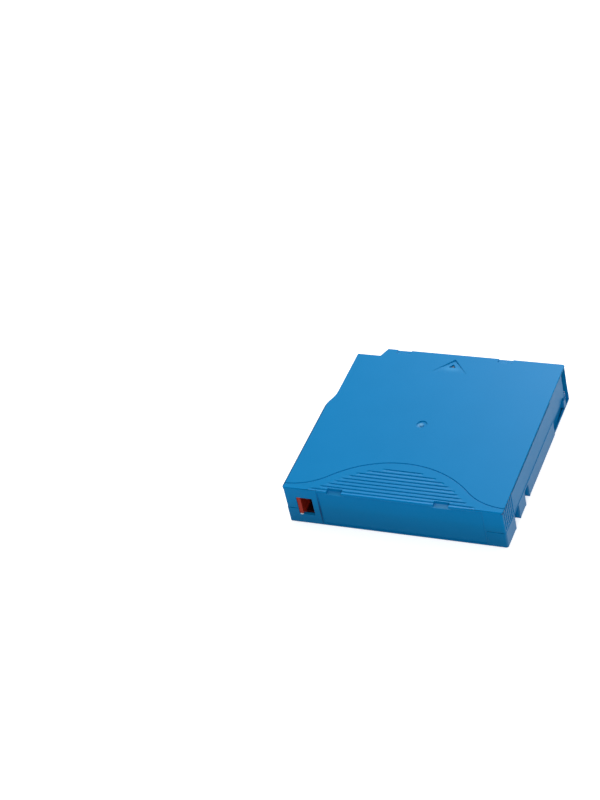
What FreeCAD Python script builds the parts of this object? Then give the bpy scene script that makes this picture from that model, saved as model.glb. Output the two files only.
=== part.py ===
import FreeCAD, Part
import math
import os
import re
import Sketcher

# A half-inch data tape cartridge. +Y is the way it goes into a drive, +X is the side with the
# tape door, +Z is the top. The origin is on the underside, in the middle of the outline.
# Sizes are in millimetres and angles in degrees. Each name is a cell of the sheet.
SIZES = {
    # the case
    "case_width": 105.4, "case_length": 102.0, "case_height": 21.5,
    "wall": 1.6, "door_wall": 1.0, "floor": 1.2, "roof": 1.3,
    "parting": 8.8, "roof_overhang": 0.2, "corner_round": 1.2, "edge_round": 0.4,
    "foot_bevel": 0.4, "seam_start": 14.5, "seam_tall": 0.5, "seam_deep": 0.35,
    # the insertion guide on the front left
    "guide_inset": 2.7, "guide_run": 12.3, "guide_back": 33.7, "guide_step": 5.5,
    "guide_lead": 14.0, "guide_slant": 2.3,
    # the screws and their bosses
    "boss_radius": 3.0, "boss_side": 5.9, "boss_rear": 16.0, "boss_guide_gap": 4.0,
    "boss_guide_back": 11.5, "boss_front_side": 18.2, "boss_front_back": 4.5,
    "screw_head": 2.0, "screw_head_height": 1.3, "screw_shank": 1.1, "screw_length": 11.0,
    "screw_play": 0.15, "screw_seat": 3.0, "drive_long": 2.2, "drive_wide": 0.6,
    "drive_deep": 0.8, "pilot_play": 0.05, "pilot_spare": 1.0,
    # the gripper notches in the sides
    "notch_rear_start": 13.0, "notch_rear_long": 6.5, "notch_rear_tall": 8.3,
    "notch_mid_start": 28.5, "notch_mid_long": 5.5, "notch_mid_tall": 7.7,
    "notch_deep": 2.6, "notch_liner": 1.0,
    # the label panel and the write-protect window in the rear face
    "label_left": 17.2, "label_right": 9.7, "label_deep": 0.4, "label_top": 20.4,
    "label_margin": 0.8, "window_left": 5.8, "window_wide": 7.9, "window_low": 5.6,
    "window_tall": 10.2,
    # the marks on the top
    "arch_top": 24.0, "arch_radius": 47.8, "arch_end_radius": 28.5, "arch_wide": 0.5,
    "arch_deep": 0.3, "grip_count": 9, "grip_first": 19.1, "grip_pitch": 2.16, "grip_wide": 1.6,
    "grip_deep": 0.5, "grip_gap": 3.8,
    "gate_radius": 2.5, "gate_deep": 0.4, "gate_nub": 1.1,
    "arrow_x": 0.4, "arrow_tip": 3.7, "arrow_long": 8.1, "arrow_wide": 14.6, "arrow_deep": 0.6,
    "arrow_small_long": 2.5, "arrow_small_wide": 3.4, "arrow_small_deep": 0.35,
    "nest_x": 25.6, "nest_wide": 7.2, "nest_long": 2.8, "nest_front_deep": 0.6,
    "nest_rear_deep": 1.9, "nest_floor": 0.8,
    # the grip grooves in the sides
    "side_groove_count": 6, "side_groove_first": 1.6, "side_groove_pitch": 2.15,
    "side_groove_wide": 1.0, "side_groove_deep": 0.4, "side_groove_low": 9.7,
    # the tape door and its opening
    "door_opening_long": 26.0, "door_front_gap": 4.0, "door_long": 25.0, "door_thick": 1.6,
    "door_play": 0.2, "door_step": 0.9, "door_step_tall": 5.6, "door_tab_wide": 2.6,
    "door_tab_front": 1.7, "door_tab_out": 1.9, "door_tab_drop": 0.2, "toe_gap": 0.4,
    "toe_out": 0.3, "channel_floor": 0.7, "ledge_inset": 0.4,
    "front_lip": 0.7, "lip_inset": 0.35, "lip_step": 5.0, "finger_gap": 0.8, "finger_wall": 2.0,
    "slot_rib": 1.2, "slot_back": 3.9, "slot_rib_long": 3.6,
    "rail_thick": 0.7, "rail_tall": 1.4, "rail_back": 46.0, "rail_long": 29.5,
    "lug_long": 1.4, "lug_tall": 3.2, "lug_reach": 1.5,
    "door_spring_z": 6.2, "door_spring_out": 1.3, "door_spring_wire": 0.18,
    "door_spring_turns": 14, "door_spring_x": 2.1, "spring_seat_back": 66.2, "spring_seat_long": 2.0,
    "spring_pin": 0.7, "spring_pin_long": 4.0, "spring_end_play": 0.05,
    "coil_sections": 6, "coil_sides": 4,
    # the write-protect tab
    "tab_low": 4.6, "tab_tall": 12.2, "tab_long": 12.2, "tab_thick": 1.0, "tab_play": 0.2,
    "tab_left": 0.7, "tab_ridge_wide": 1.9, "tab_ridge_left": 0.1, "tab_ridge_out": 1.4,
    "tab_travel": 3.6, "guide_rib": 1.0, "guide_rib_tall": 1.0, "guide_rib_play": 0.3,
    "pocket_deep": 4.6, "pocket_wall": 0.5, "pocket_play": 0.2,
    # the reel and its tape
    "reel_x": 1.7, "flange_radius": 48.5, "flange_thick": 1.2, "flange_low": 3.1,
    "hub_radius": 22.0, "hub_wall": 2.5, "hub_low": 2.5, "hub_step": 1.0, "hub_floor_low": 3.0,
    "hub_floor_thick": 1.6, "tape_width": 12.65, "tape_play": 0.1, "pack_radius": 47.0,
    "spindle_hole": 17.5, "spindle_rim": 1.8, "spindle_rim_tall": 0.6,
    "clutch_teeth": 36, "clutch_in": 13.4, "clutch_out": 17.0, "clutch_tall": 0.9,
    "clutch_wide": 1.2, "tooth_slope": 12.0,
    "brake_teeth": 24, "brake_in": 11.2, "brake_out": 14.8, "brake_tall": 0.8, "brake_wide": 1.3,
    "plate_out": 12.6, "plate_in": 3.5, "plate_thick": 0.6,
    # the brake and what lifts it
    "button_low": 5.6, "button_thick": 1.6, "button_radius": 15.6, "button_dish": 9.8,
    "button_dish_deep": 0.7, "button_post": 5.6, "button_post_tall": 5.8,
    "key_long": 7.6, "key_wide": 1.6, "key_low": 9.2, "key_play": 0.2, "key_socket_low": 7.2,
    "brake_spring_radius": 8.0, "brake_spring_wire": 0.4, "brake_spring_turns": 5,
    "spring_ring": 1.0, "spring_ring_gap": 0.8, "spring_ring_tall": 1.3,
    "pad_low": 4.8, "pad_thick": 1.2, "pad_radius": 9.3, "pad_hole": 3.0, "pad_leg_in": 5.9,
    "pad_leg_out": 8.5, "pad_leg_angle": 13.0, "pad_leg_low": 2.3, "pad_leg_play": 0.25,
    "pad_legs": 3,
    # the leader pin, its clip and its spring
    "pin_x": 7.1, "pin_back": 12.5, "pin_head": 1.9, "pin_head_tall": 1.2, "pin_neck": 1.25,
    "pin_cone": 0.6,
    "pin_play": 0.1, "seat_play": 0.15, "seat_wall": 1.1, "seat_tall": 2.2,
    "seat_lip": 1.0,
    "clip_thick": 0.7, "clip_play": 0.05, "clip_angle": 260.0, "film": 0.12,
    "leaf_thick": 0.25, "leaf_back": 2.6, "leaf_front": 5.7, "leaf_gap": 0.25, "leaf_bend": 0.5,
    "leaf_hook": 2.2, "leaf_hook_in": 0.65, "leaf_flare": 3.3, "leaf_flare_out": 0.45,
    "leaf_window": 0.6, "leaf_shoulder": 1.65, "post_wide": 2.0, "post_wall": 0.9, "post_tall": 3.0,
    # the memory board
    "board_right": 8.0, "board_wide": 13.4, "board_long": 11.5, "board_thick": 0.6,
    "board_foot": 10.8, "board_lift": 0.08, "board_stop_tall": 2.4, "cheek": 1.2,
    "chip_radius": 1.6, "chip_tall": 0.5, "chip_slope": 50.0,
    "coil_margin": 0.8, "coil_track": 0.9, "coil_thick": 0.1,
}

# A length too small to matter, for telling edges and volumes apart.
HAIR = 0.01

# Where things lie, as formulas of the sizes.
RIGHT = "(case_width / 2)"
LEFT = "(-case_width / 2)"
FRONT = "(case_length / 2)"
REAR = "(-case_length / 2)"
CEILING = "(case_height - roof)"
REEL_X = "(-reel_x)"
GUIDE_X = "(-case_width / 2 + guide_inset)"
GUIDE_REAR = "(case_length / 2 - guide_back)"
GUIDE_FRONT = "(case_length / 2 - guide_step)"
RIGHT_INSIDE = "(case_width / 2 - door_wall)"
REAR_INSIDE = "(-case_length / 2 + wall)"
FRONT_INSIDE = "(case_length / 2 - wall)"
OPENING_REAR = "(case_length / 2 - door_opening_long)"
DOOR_FRONT = "(case_length / 2 - door_front_gap)"
DOOR_REAR = "(case_length / 2 - door_front_gap - door_long)"
DOOR_OUT = "(case_width / 2 - door_wall - door_play)"
DOOR_IN = "(case_width / 2 - door_wall - door_play - door_thick)"
SLOT_BACK = "(case_width / 2 - slot_back)"
PANEL_LEFT = "(-case_width / 2 + label_left - label_margin)"
PANEL_RIGHT = "(case_width / 2 - label_right + label_margin)"
WINDOW_LEFT = "(-case_width / 2 + window_left)"
WINDOW_RIGHT = "(-case_width / 2 + window_left + window_wide)"
TAB_LEFT = "(-case_width / 2 + wall + tab_left)"
TAB_RIGHT = "(-case_width / 2 + wall + tab_left + tab_long)"
TAB_BACK = "(-case_length / 2 + wall + tab_play + tab_thick)"
GUIDE_BACK = "(-case_length / 2 + wall + tab_play + tab_thick + guide_rib_play)"
PIN_X = "(case_width / 2 - pin_x)"
PIN_Y = "(case_length / 2 - pin_back)"
LEAF_Y = "(case_length / 2 - pin_back + leaf_front)"
SPRING_X = "(case_width / 2 - door_wall - door_spring_x)"
SPRING_SEAT = "(case_length / 2 - spring_seat_back)"
TAPE_LOW = "(flange_low + flange_thick + tape_play)"
FLANGE_TOP_LOW = "(flange_low + flange_thick + tape_width + 2 * tape_play)"
HUB_FLOOR_TOP = "(hub_floor_low + hub_floor_thick)"
ARCH_Y = "(-case_length / 2 + arch_top - arch_radius)"
ARCH_REACH = "(arch_radius + arch_end_radius)"
BOARD_LEFT = "(case_width / 2 - board_right - board_wide)"

doc = FreeCAD.newDocument("TapeCartridge")
sheet = doc.addObject("Spreadsheet::Sheet", "Sizes")
for row, (name, number) in enumerate(SIZES.items(), start=1):
    sheet.set(f"A{row}", name)
    sheet.set(f"B{row}", str(number))
    sheet.setAlias(f"B{row}", name)
doc.recompute()


def formula(text):
    """Point each word that names a size at its cell of the sheet."""
    return re.sub(r"[a-z_]+", lambda word: f"Sizes.{word[0]}" if word[0] in SIZES else word[0], text)


def value(text):
    """Work a formula out as a plain number."""
    result = sheet.evalExpression(formula(text))
    return float(getattr(result, "Value", result))


def new_body(name):
    """Start a moulded, turned or stamped piece."""
    body = doc.addObject("PartDesign::Body", name)
    body.Label = name
    return body


def stand_on_reel_axis(piece):
    """Put a piece that was made round its own axis on the axis of the reel."""
    piece.setExpression("Placement.Base.x", formula(REEL_X))


def sketch_on(body, name, plane, offset):
    """Open a sketch on one of the body's own planes, moved along the plane's normal."""
    support = next(item for item in body.Origin.OriginFeatures if item.Role == f"{plane}_Plane")
    sketch = body.newObject("Sketcher::SketchObject", f"{name}_sketch")
    sketch.AttachmentSupport = [(support, "")]
    sketch.MapMode = "FlatFace"
    sketch.setExpression("AttachmentOffset.Base.z", formula(offset))
    return sketch


def hold(rules, geometry, point, x, y):
    """Note that a point of the sketch belongs at a place that the sheet gives."""
    for direction, place in (("DistanceX", x), ("DistanceY", y)):
        rules.append((Sketcher.Constraint(direction, -1, 1, geometry, point, value(place)), place))


def hold_radius(rules, geometry, radius):
    """Note that an arc or circle has a radius that the sheet gives."""
    rules.append((Sketcher.Constraint("Radius", geometry, abs(value(radius))), f"abs({radius})"))


def apply_rules(sketch, rules):
    """Give the sketch its rules all at once, each bound to its formula."""
    indices = sketch.addConstraint([rule for rule, _ in rules])
    for index, (_, text) in zip(indices, rules):
        if text:
            sketch.setExpression(f"Constraints[{index}]", formula(text))


def arc_between(start, end, radius):
    """The arc from start to end. Its centre is on the left for a positive radius."""
    chord = end - start
    left = FreeCAD.Vector(-chord.y, chord.x, 0).normalize()
    rise = math.sqrt(max(radius * radius - chord.Length ** 2 / 4, 0))
    centre = (start + end) / 2 + left * math.copysign(rise, radius)
    first, last = (start, end) if radius > 0 else (end, start)
    angles = [math.atan2(point.y - centre.y, point.x - centre.x) for point in (first, last)]
    return Part.ArcOfCircle(Part.Circle(centre, FreeCAD.Vector(0, 0, 1), abs(radius)), *angles)


def draw_outline(sketch, rules, corners):
    """Draw a closed outline. A corner's third value makes the run after it an arc."""
    places = [FreeCAD.Vector(value(corner[0]), value(corner[1]), 0) for corner in corners]
    ends = []
    for corner, start, end in zip(corners, places, places[1:] + places[:1]):
        if len(corner) == 2:
            index = sketch.addGeometry(Part.LineSegment(start, end), False)
            ends.append((index, 1, 2))
        else:
            radius = value(corner[2])
            index = sketch.addGeometry(arc_between(start, end, radius), False)
            ends.append((index, 1, 2) if radius > 0 else (index, 2, 1))
            hold_radius(rules, index, corner[2])
    for corner, (before, _, finish), (after, begin, _) in zip(corners, ends[-1:] + ends, ends):
        rules.append((Sketcher.Constraint("Coincident", before, finish, after, begin), None))
        hold(rules, after, begin, corner[0], corner[1])


def draw_circle(sketch, rules, x, y, radius):
    """Draw a circle round a place that the sheet gives."""
    centre = FreeCAD.Vector(value(x), value(y), 0)
    circle = Part.Circle(centre, FreeCAD.Vector(0, 0, 1), value(radius))
    index = sketch.addGeometry(circle, False)
    hold(rules, index, 3, x, y)
    hold_radius(rules, index, radius)


def draw(sketch, outlines):
    """Draw each outline: a list of corners, or a circle as a tuple of x, y and radius."""
    rules = []
    for outline in outlines:
        if isinstance(outline, tuple):
            draw_circle(sketch, rules, *outline)
        else:
            draw_outline(sketch, rules, outline)
    apply_rules(sketch, rules)


def rectangle(left, right, low, high):
    """The corners of a rectangle, walked with the inside on the left."""
    return [(left, low), (right, low), (right, high), (left, high)]


def prism(body, name, plane, low, high, outlines, cut=False):
    """Add the outlines between two levels of the axis that the plane faces, or cut them away."""
    towards_rear = plane == "XZ"
    offset = low if cut == towards_rear else high
    offset = f"-({offset})" if towards_rear else offset
    sketch = sketch_on(body, name, plane, offset)
    draw(sketch, outlines)
    feature = body.newObject("PartDesign::Pocket" if cut else "PartDesign::Pad", name)
    feature.Profile = sketch
    feature.setExpression("Length", formula(f"({high}) - ({low})"))
    return feature


def turn(body, name, corners):
    """Turn a profile of radius and height a full circle round the body's upright axis."""
    sketch = sketch_on(body, name, "XZ", "0")
    draw(sketch, [corners])
    feature = body.newObject("PartDesign::Revolution", name)
    feature.Profile = sketch
    feature.ReferenceAxis = (sketch, ["V_Axis"])
    return feature


def repeat_round(body, name, feature, count):
    """Repeat a feature evenly round the body's upright axis."""
    axis = next(item for item in body.Origin.OriginFeatures if item.Role == "Z_Axis")
    pattern = body.newObject("PartDesign::PolarPattern", name)
    pattern.Originals = [feature]
    pattern.Axis = (axis, [""])
    pattern.setExpression("Occurrences", formula(count))
    body.Tip = pattern
    return pattern


def finish_edges(body, name, kind, size, chosen):
    """Round or bevel the edges of the body so far whose own box passes the test."""
    doc.recompute()
    base = body.Tip
    edges = [f"Edge{number}" for number, edge in enumerate(base.Shape.Edges, start=1)
             if chosen(edge.BoundBox)]
    finish = body.newObject(f"PartDesign::{kind}", name)
    finish.Base = (base, edges)
    finish.setExpression("Radius" if kind == "Fillet" else "Size", formula(size))
    return finish


def case_outline(side, front="0", rear="0", right=None):
    """The plan of the case, drawn in from its outer faces by the given amounts."""
    right_x = f"{RIGHT} - {right or side}"
    left_x = f"{LEFT} + {side}"
    guide_x = f"{GUIDE_X} + {side}"
    bend_x = f"{GUIDE_X} - guide_inset / 2 + {side}"
    bend = "(guide_run ^ 2 + guide_inset ^ 2) / (4 * guide_inset)"
    notch_x = f"{GUIDE_X} + guide_lead - guide_slant + {side}"
    return [
        (left_x, f"{REAR} + {rear} + corner_round", "corner_round"),
        (f"{left_x} + corner_round", f"{REAR} + {rear}"),
        (f"{right_x} - corner_round", f"{REAR} + {rear}", "corner_round"),
        (right_x, f"{REAR} + {rear} + corner_round"),
        (right_x, f"{FRONT} - {front} - corner_round", "corner_round"),
        (f"{right_x} - corner_round", f"{FRONT} - {front}"),
        (f"{notch_x} + guide_slant", f"{FRONT} - {front}"),
        (notch_x, f"{GUIDE_FRONT} - {front}"),
        (guide_x, f"{GUIDE_FRONT} - {front}"),
        (guide_x, GUIDE_REAR, f"-({bend})"),
        (bend_x, f"{GUIDE_REAR} - guide_run / 2", bend),
        (left_x, f"{GUIDE_REAR} - guide_run"),
    ]


def cavity_outline():
    """The plan of the space inside the walls."""
    return case_outline("wall", "wall", "wall", "door_wall")


def boss_places():
    """The centres of the four screws."""
    return [
        (f"{LEFT} + boss_side", f"{REAR} + boss_rear"),
        (f"{RIGHT} - boss_side", f"{REAR} + boss_rear"),
        (f"{GUIDE_X} + boss_guide_gap", f"{FRONT} - boss_guide_back"),
        (f"{RIGHT} - boss_front_side", f"{FRONT} - boss_front_back"),
    ]


def pin_seat(body, low, high):
    """A horseshoe wall, open on the door side, that holds one head of the leader pin."""
    inner = "(pin_head + seat_play)"
    outer = f"({inner} + seat_wall)"
    tip = f"{PIN_X} + seat_lip"
    prism(body, "pin_seat", "XY", low, high, [[
        (PIN_X, f"{PIN_Y} + {outer}", outer), (f"{PIN_X} - {outer}", PIN_Y, outer),
        (PIN_X, f"{PIN_Y} - {outer}"), (tip, f"{PIN_Y} - {outer}"), (tip, f"{PIN_Y} - {inner}"),
        (PIN_X, f"{PIN_Y} - {inner}", f"-{inner}"), (f"{PIN_X} - {inner}", PIN_Y, f"-{inner}"),
        (PIN_X, f"{PIN_Y} + {inner}"), (tip, f"{PIN_Y} + {inner}"), (tip, f"{PIN_Y} + {outer}")]])


def leaf_post(body, low, high):
    """A slotted post that grips one end of the leader pin's spring."""
    left = f"{PIN_X} - leaf_back - post_wide / 2"
    slot_low = f"{LEAF_Y} - clip_play"
    slot_high = f"{LEAF_Y} + leaf_thick + clip_play"
    right = f"{left} + post_wide"
    front = f"{slot_high} + post_wall"
    prism(body, "leaf_post", "XY", low, high,
          [rectangle(left, right, f"{slot_low} - post_wall", front)])
    prism(body, "leaf_post_slot", "XY", low, high,
          [rectangle(left, right, slot_low, slot_high)], cut=True)


def door_rail(body, low, high):
    """A rail that keeps the open door against the side wall."""
    right = f"{DOOR_IN} - door_play"
    prism(body, "door_rail", "XY", low, high,
          [rectangle(f"{right} - rail_thick", right, f"{FRONT} - rail_back",
                     f"{FRONT} - rail_back + rail_long")])


def door_slot(body, low, high):
    """The recess in front of the door, with its back rib and the thin front lip."""
    rib = f"{SLOT_BACK} - slot_rib"
    prism(body, "slot_rib", "XY", low, high,
          [rectangle(rib, SLOT_BACK, f"{FRONT_INSIDE} - slot_rib_long", FRONT_INSIDE)])
    prism(body, "slot_space", "XY", low, high,
          [rectangle(SLOT_BACK, RIGHT, f"{FRONT_INSIDE} - corner_round", f"{FRONT} - front_lip")],
          cut=True)


def tab_guide(body, shelf_low, shelf_high, rib_low, rib_high):
    """The shelf and back rib that the write-protect tab slides between."""
    left = f"{LEFT} + wall"
    stop = f"{TAB_RIGHT} + tab_travel + tab_play"
    back = f"{GUIDE_BACK} + guide_rib"
    prism(body, "tab_shelf", "XY", shelf_low, shelf_high,
          [rectangle(left, f"{stop} + guide_rib", REAR_INSIDE, back)])
    prism(body, "tab_rib", "XY", rib_low, rib_high,
          [rectangle(left, f"{stop} + guide_rib", GUIDE_BACK, back)])
    prism(body, "tab_stop", "XY", rib_low, rib_high,
          [rectangle(stop, f"{stop} + guide_rib", REAR_INSIDE, GUIDE_BACK)])


def side_notch(body, name, side, start, long, tall):
    """A gripper notch in one side: a liner inside the wall, opened from below and outside."""
    outside, inside = (RIGHT, f"{RIGHT} - notch_deep") if side > 0 else (f"{LEFT} + notch_deep", LEFT)
    rear = f"{REAR} + {start}"
    liner = "notch_liner"
    left = f"{inside} - {liner}" if side > 0 else inside
    right = outside if side > 0 else f"{outside} + {liner}"
    prism(body, f"{name}_liner", "XY", "0", "parting",
          [rectangle(left, right, f"{rear} - {liner}", f"{rear} + {long} + {liner}")])
    prism(body, name, "XY", "0", tall, [rectangle(inside, outside, rear, f"{rear} + {long}")], cut=True)


def make_lower_shell():
    """The tray: floor, lower walls, screw bosses, the hole for the drive's spindle and the seats."""
    body = new_body("lower_shell")
    prism(body, "tray", "XY", "0", "parting", [case_outline("0")])
    finish_edges(body, "foot", "Chamfer", "foot_bevel", lambda box: box.ZMax < HAIR)
    prism(body, "cavity", "XY", "floor", "parting", [cavity_outline()], cut=True)
    for name, start, long, tall in (
        ("rear_notch", "notch_rear_start", "notch_rear_long", "notch_rear_tall"),
        ("mid_notch", "notch_mid_start", "notch_mid_long", "notch_mid_tall"),
    ):
        side_notch(body, f"right_{name}", 1, start, long, tall)
        side_notch(body, f"left_{name}", -1, start, long, tall)
    prism(body, "panel_gap", "XY", "floor", "parting",
          [rectangle(PANEL_LEFT, PANEL_RIGHT, REAR, REAR_INSIDE)], cut=True)
    tab_guide(body, "floor", "tab_low - tab_play", "floor", "tab_low + guide_rib_tall")
    prism(body, "window", "XZ", REAR, REAR_INSIDE,
          [rectangle(WINDOW_LEFT, WINDOW_RIGHT, "window_low", "parting")], cut=True)
    door_slot(body, "floor", "parting")
    prism(body, "door_opening", "XY", "channel_floor", "parting",
          [rectangle(f"{DOOR_OUT} - door_step", RIGHT, OPENING_REAR, f"{FRONT} - front_lip")],
          cut=True)
    prism(body, "ledge", "XY", "0", "channel_floor",
          [rectangle(f"{RIGHT} - ledge_inset", RIGHT, OPENING_REAR, f"{FRONT} - front_lip")], cut=True)
    prism(body, "lip_inset", "XY", "lip_step", "parting",
          [rectangle(f"{RIGHT} - lip_inset", RIGHT, f"{FRONT} - front_lip", FRONT)], cut=True)
    finger = f"{RIGHT} - finger_wall"
    prism(body, "finger_gap", "XZ", f"{FRONT} - front_lip", FRONT,
          [rectangle(f"{finger} - finger_gap", finger, "channel_floor", "lip_step")], cut=True)
    door_rail(body, "floor", "floor + rail_tall")
    prism(body, "spring_seat", "XY", "floor", "parting",
          [rectangle(f"{SPRING_X} - door_spring_out - door_spring_wire", RIGHT_INSIDE,
                     f"{SPRING_SEAT} - spring_seat_long", SPRING_SEAT)])
    pin_seat(body, "floor", "floor + seat_tall")
    leaf_post(body, "floor", "floor + post_tall")
    board_cheeks(body)
    prism(body, "spindle_rim", "XY", "floor", "floor + spindle_rim_tall",
          [(REEL_X, "0", "spindle_hole + spindle_rim")])
    prism(body, "spindle_hole", "XY", "0", "floor + spindle_rim_tall",
          [(REEL_X, "0", "spindle_hole")], cut=True)
    prism(body, "bosses", "XY", "floor", "parting", [(x, y, "boss_radius") for x, y in boss_places()])
    prism(body, "screw_holes", "XY", "0", "parting",
          [(x, y, "screw_shank + screw_play") for x, y in boss_places()], cut=True)
    prism(body, "head_holes", "XY", "0", "screw_seat",
          [(x, y, "screw_head + screw_play") for x, y in boss_places()], cut=True)
    return body


def board_cheeks(body):
    """Two sloped cheeks that carry the memory board at 45 degrees."""
    foot = f"{REAR} + board_foot"
    slope = [
        (REAR_INSIDE, "floor"),
        (foot, "floor"),
        (f"{foot} - (parting - floor)", "parting"),
        (REAR_INSIDE, "parting"),
    ]
    right = f"{BOARD_LEFT} + board_wide"
    prism(body, "left_cheek", "YZ", BOARD_LEFT, f"{BOARD_LEFT} + cheek", [slope])
    prism(body, "right_cheek", "YZ", f"{right} - cheek", right, [slope])
    stop = f"{foot} + (2 * board_thick + 2 * board_lift)"
    prism(body, "board_stop", "XY", "floor", "floor + board_stop_tall",
          [rectangle(f"{BOARD_LEFT} + cheek", f"{right} - cheek", stop, f"{stop} + cheek")])


def arch_end_centre():
    """How far forward the centres of the arch's two end arcs lie."""
    return f"({ARCH_Y} + sqrt({ARCH_REACH} ^ 2 - (case_width / 2) ^ 2))"


def arch_line():
    """The thin line round the grip: a middle arc that runs into an end arc at each side."""
    end_centre = arch_end_centre()
    corners = []
    for radius, end_radius in (("(arch_radius + arch_wide / 2)", "(arch_end_radius - arch_wide / 2)"),
                               ("(arch_radius - arch_wide / 2)", "(arch_end_radius + arch_wide / 2)")):
        join_x = f"case_width / 2 * {radius} / {ARCH_REACH}"
        join_y = f"{ARCH_Y} + ({end_centre} - {ARCH_Y}) * {radius} / {ARCH_REACH}"
        end_y = f"{end_centre} - {end_radius}"
        corners.append([(RIGHT, end_y, f"-{end_radius}"), (join_x, join_y, radius),
                        (f"-({join_x})", join_y, f"-{end_radius}"), (LEFT, end_y)])
    upper, lower = corners
    back = [(LEFT, lower[3][1], f"{lower[2][2][1:]}"), (lower[2][0], lower[2][1], f"-{lower[1][2]}"),
            (lower[1][0], lower[1][1], f"{lower[0][2][1:]}"), (RIGHT, lower[0][1])]
    return upper + back


def cut_grip(body):
    """The grip grooves, each steep on its front side. Their ends keep one distance from the arch."""
    middle = "(arch_radius - grip_gap)"
    end = "(arch_end_radius + grip_gap)"
    end_centre = arch_end_centre()
    join = value(f"{ARCH_Y} + ({end_centre} - {ARCH_Y}) * {middle} / {ARCH_REACH}")
    for step in range(round(value("grip_count"))):
        front = f"({REAR} + grip_first - {step} * grip_pitch)"
        half = f"case_width / 2 - sqrt({end} ^ 2 - ({end_centre} - {front}) ^ 2)"
        if value(front) > join:
            half = f"sqrt({middle} ^ 2 - ({front} - {ARCH_Y}) ^ 2)"
        profile = [(front, "case_height"), (f"{front} - grip_wide", "case_height"),
                   (front, "case_height - grip_deep")]
        prism(body, f"grip_{step}", "YZ", f"-({half})", half, [profile], cut=True)


def cut_arrow(body):
    """The insertion arrow: a ramp that is deepest at its tip, with a small deeper triangle."""
    tip = f"{FRONT} - arrow_tip"
    base = f"{tip} - arrow_long"
    slope = "atan2(arrow_deep; arrow_long)"
    sketch = sketch_on(body, "arrow", "XY", "case_height")
    sketch.setExpression("AttachmentOffset.Base.y", formula(base))
    sketch.setExpression("AttachmentOffset.Base.x", formula("-arrow_x"))
    sketch.AttachmentOffset = FreeCAD.Placement(
        sketch.AttachmentOffset.Base, FreeCAD.Rotation(FreeCAD.Vector(-1, 0, 0), 1))
    sketch.setExpression("AttachmentOffset.Rotation.Angle", formula(slope))
    draw(sketch, [[("-arrow_wide / 2", "0"), ("arrow_wide / 2", "0"), ("0", "arrow_long")]])
    ramp = body.newObject("PartDesign::Pocket", "arrow")
    ramp.Profile = sketch
    ramp.Reversed = True
    ramp.setExpression("Length", formula("arrow_deep * 2"))
    small_base = f"{base} + arrow_small_long"
    small_tip = f"{small_base} + arrow_small_long"
    triangle = [("-arrow_x - arrow_small_wide / 2", small_base),
                ("-arrow_x + arrow_small_wide / 2", small_base), ("-arrow_x", small_tip)]
    prism(body, "small_arrow", "XY", "case_height - arrow_deep - arrow_small_deep", "case_height",
          [triangle], cut=True)


def cut_nests(body):
    """The stacking nests along the front and rear edges of the top. The deep rear ones have floors."""
    middles = ("(-reel_x - nest_x)", "(-reel_x + nest_x)")
    half = "(nest_wide / 2 + nest_floor)"
    prism(body, "nest_floors", "XY", "case_height - nest_rear_deep - nest_floor", CEILING,
          [rectangle(f"{middle} - {half}", f"{middle} + {half}", REAR_INSIDE,
                     f"{REAR} + nest_long + nest_floor") for middle in middles])
    for name, depth, low, high in (
        ("front_nests", "nest_front_deep", f"{FRONT} - nest_long", FRONT),
        ("rear_nests", "nest_rear_deep", REAR, f"{REAR} + nest_long"),
    ):
        spots = [rectangle(f"{middle} - nest_wide / 2", f"{middle} + nest_wide / 2", low, high)
                 for middle in middles]
        prism(body, name, "XY", f"case_height - {depth}", "case_height", spots, cut=True)


def cut_side_grooves(body):
    """The upright grip grooves at the rear of both sides."""
    for name, outside, inside in (
        ("right_grooves", f"{RIGHT} - roof_overhang", f"{RIGHT} - roof_overhang - side_groove_deep"),
        ("left_grooves", f"{LEFT} + roof_overhang + side_groove_deep", f"{LEFT} + roof_overhang"),
    ):
        slots = []
        for step in range(round(value("side_groove_count"))):
            start = f"{REAR} + side_groove_first + {step} * side_groove_pitch"
            slots.append(rectangle(inside, outside, start, f"{start} + side_groove_wide"))
        prism(body, name, "XY", "side_groove_low", CEILING, slots, cut=True)


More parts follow.
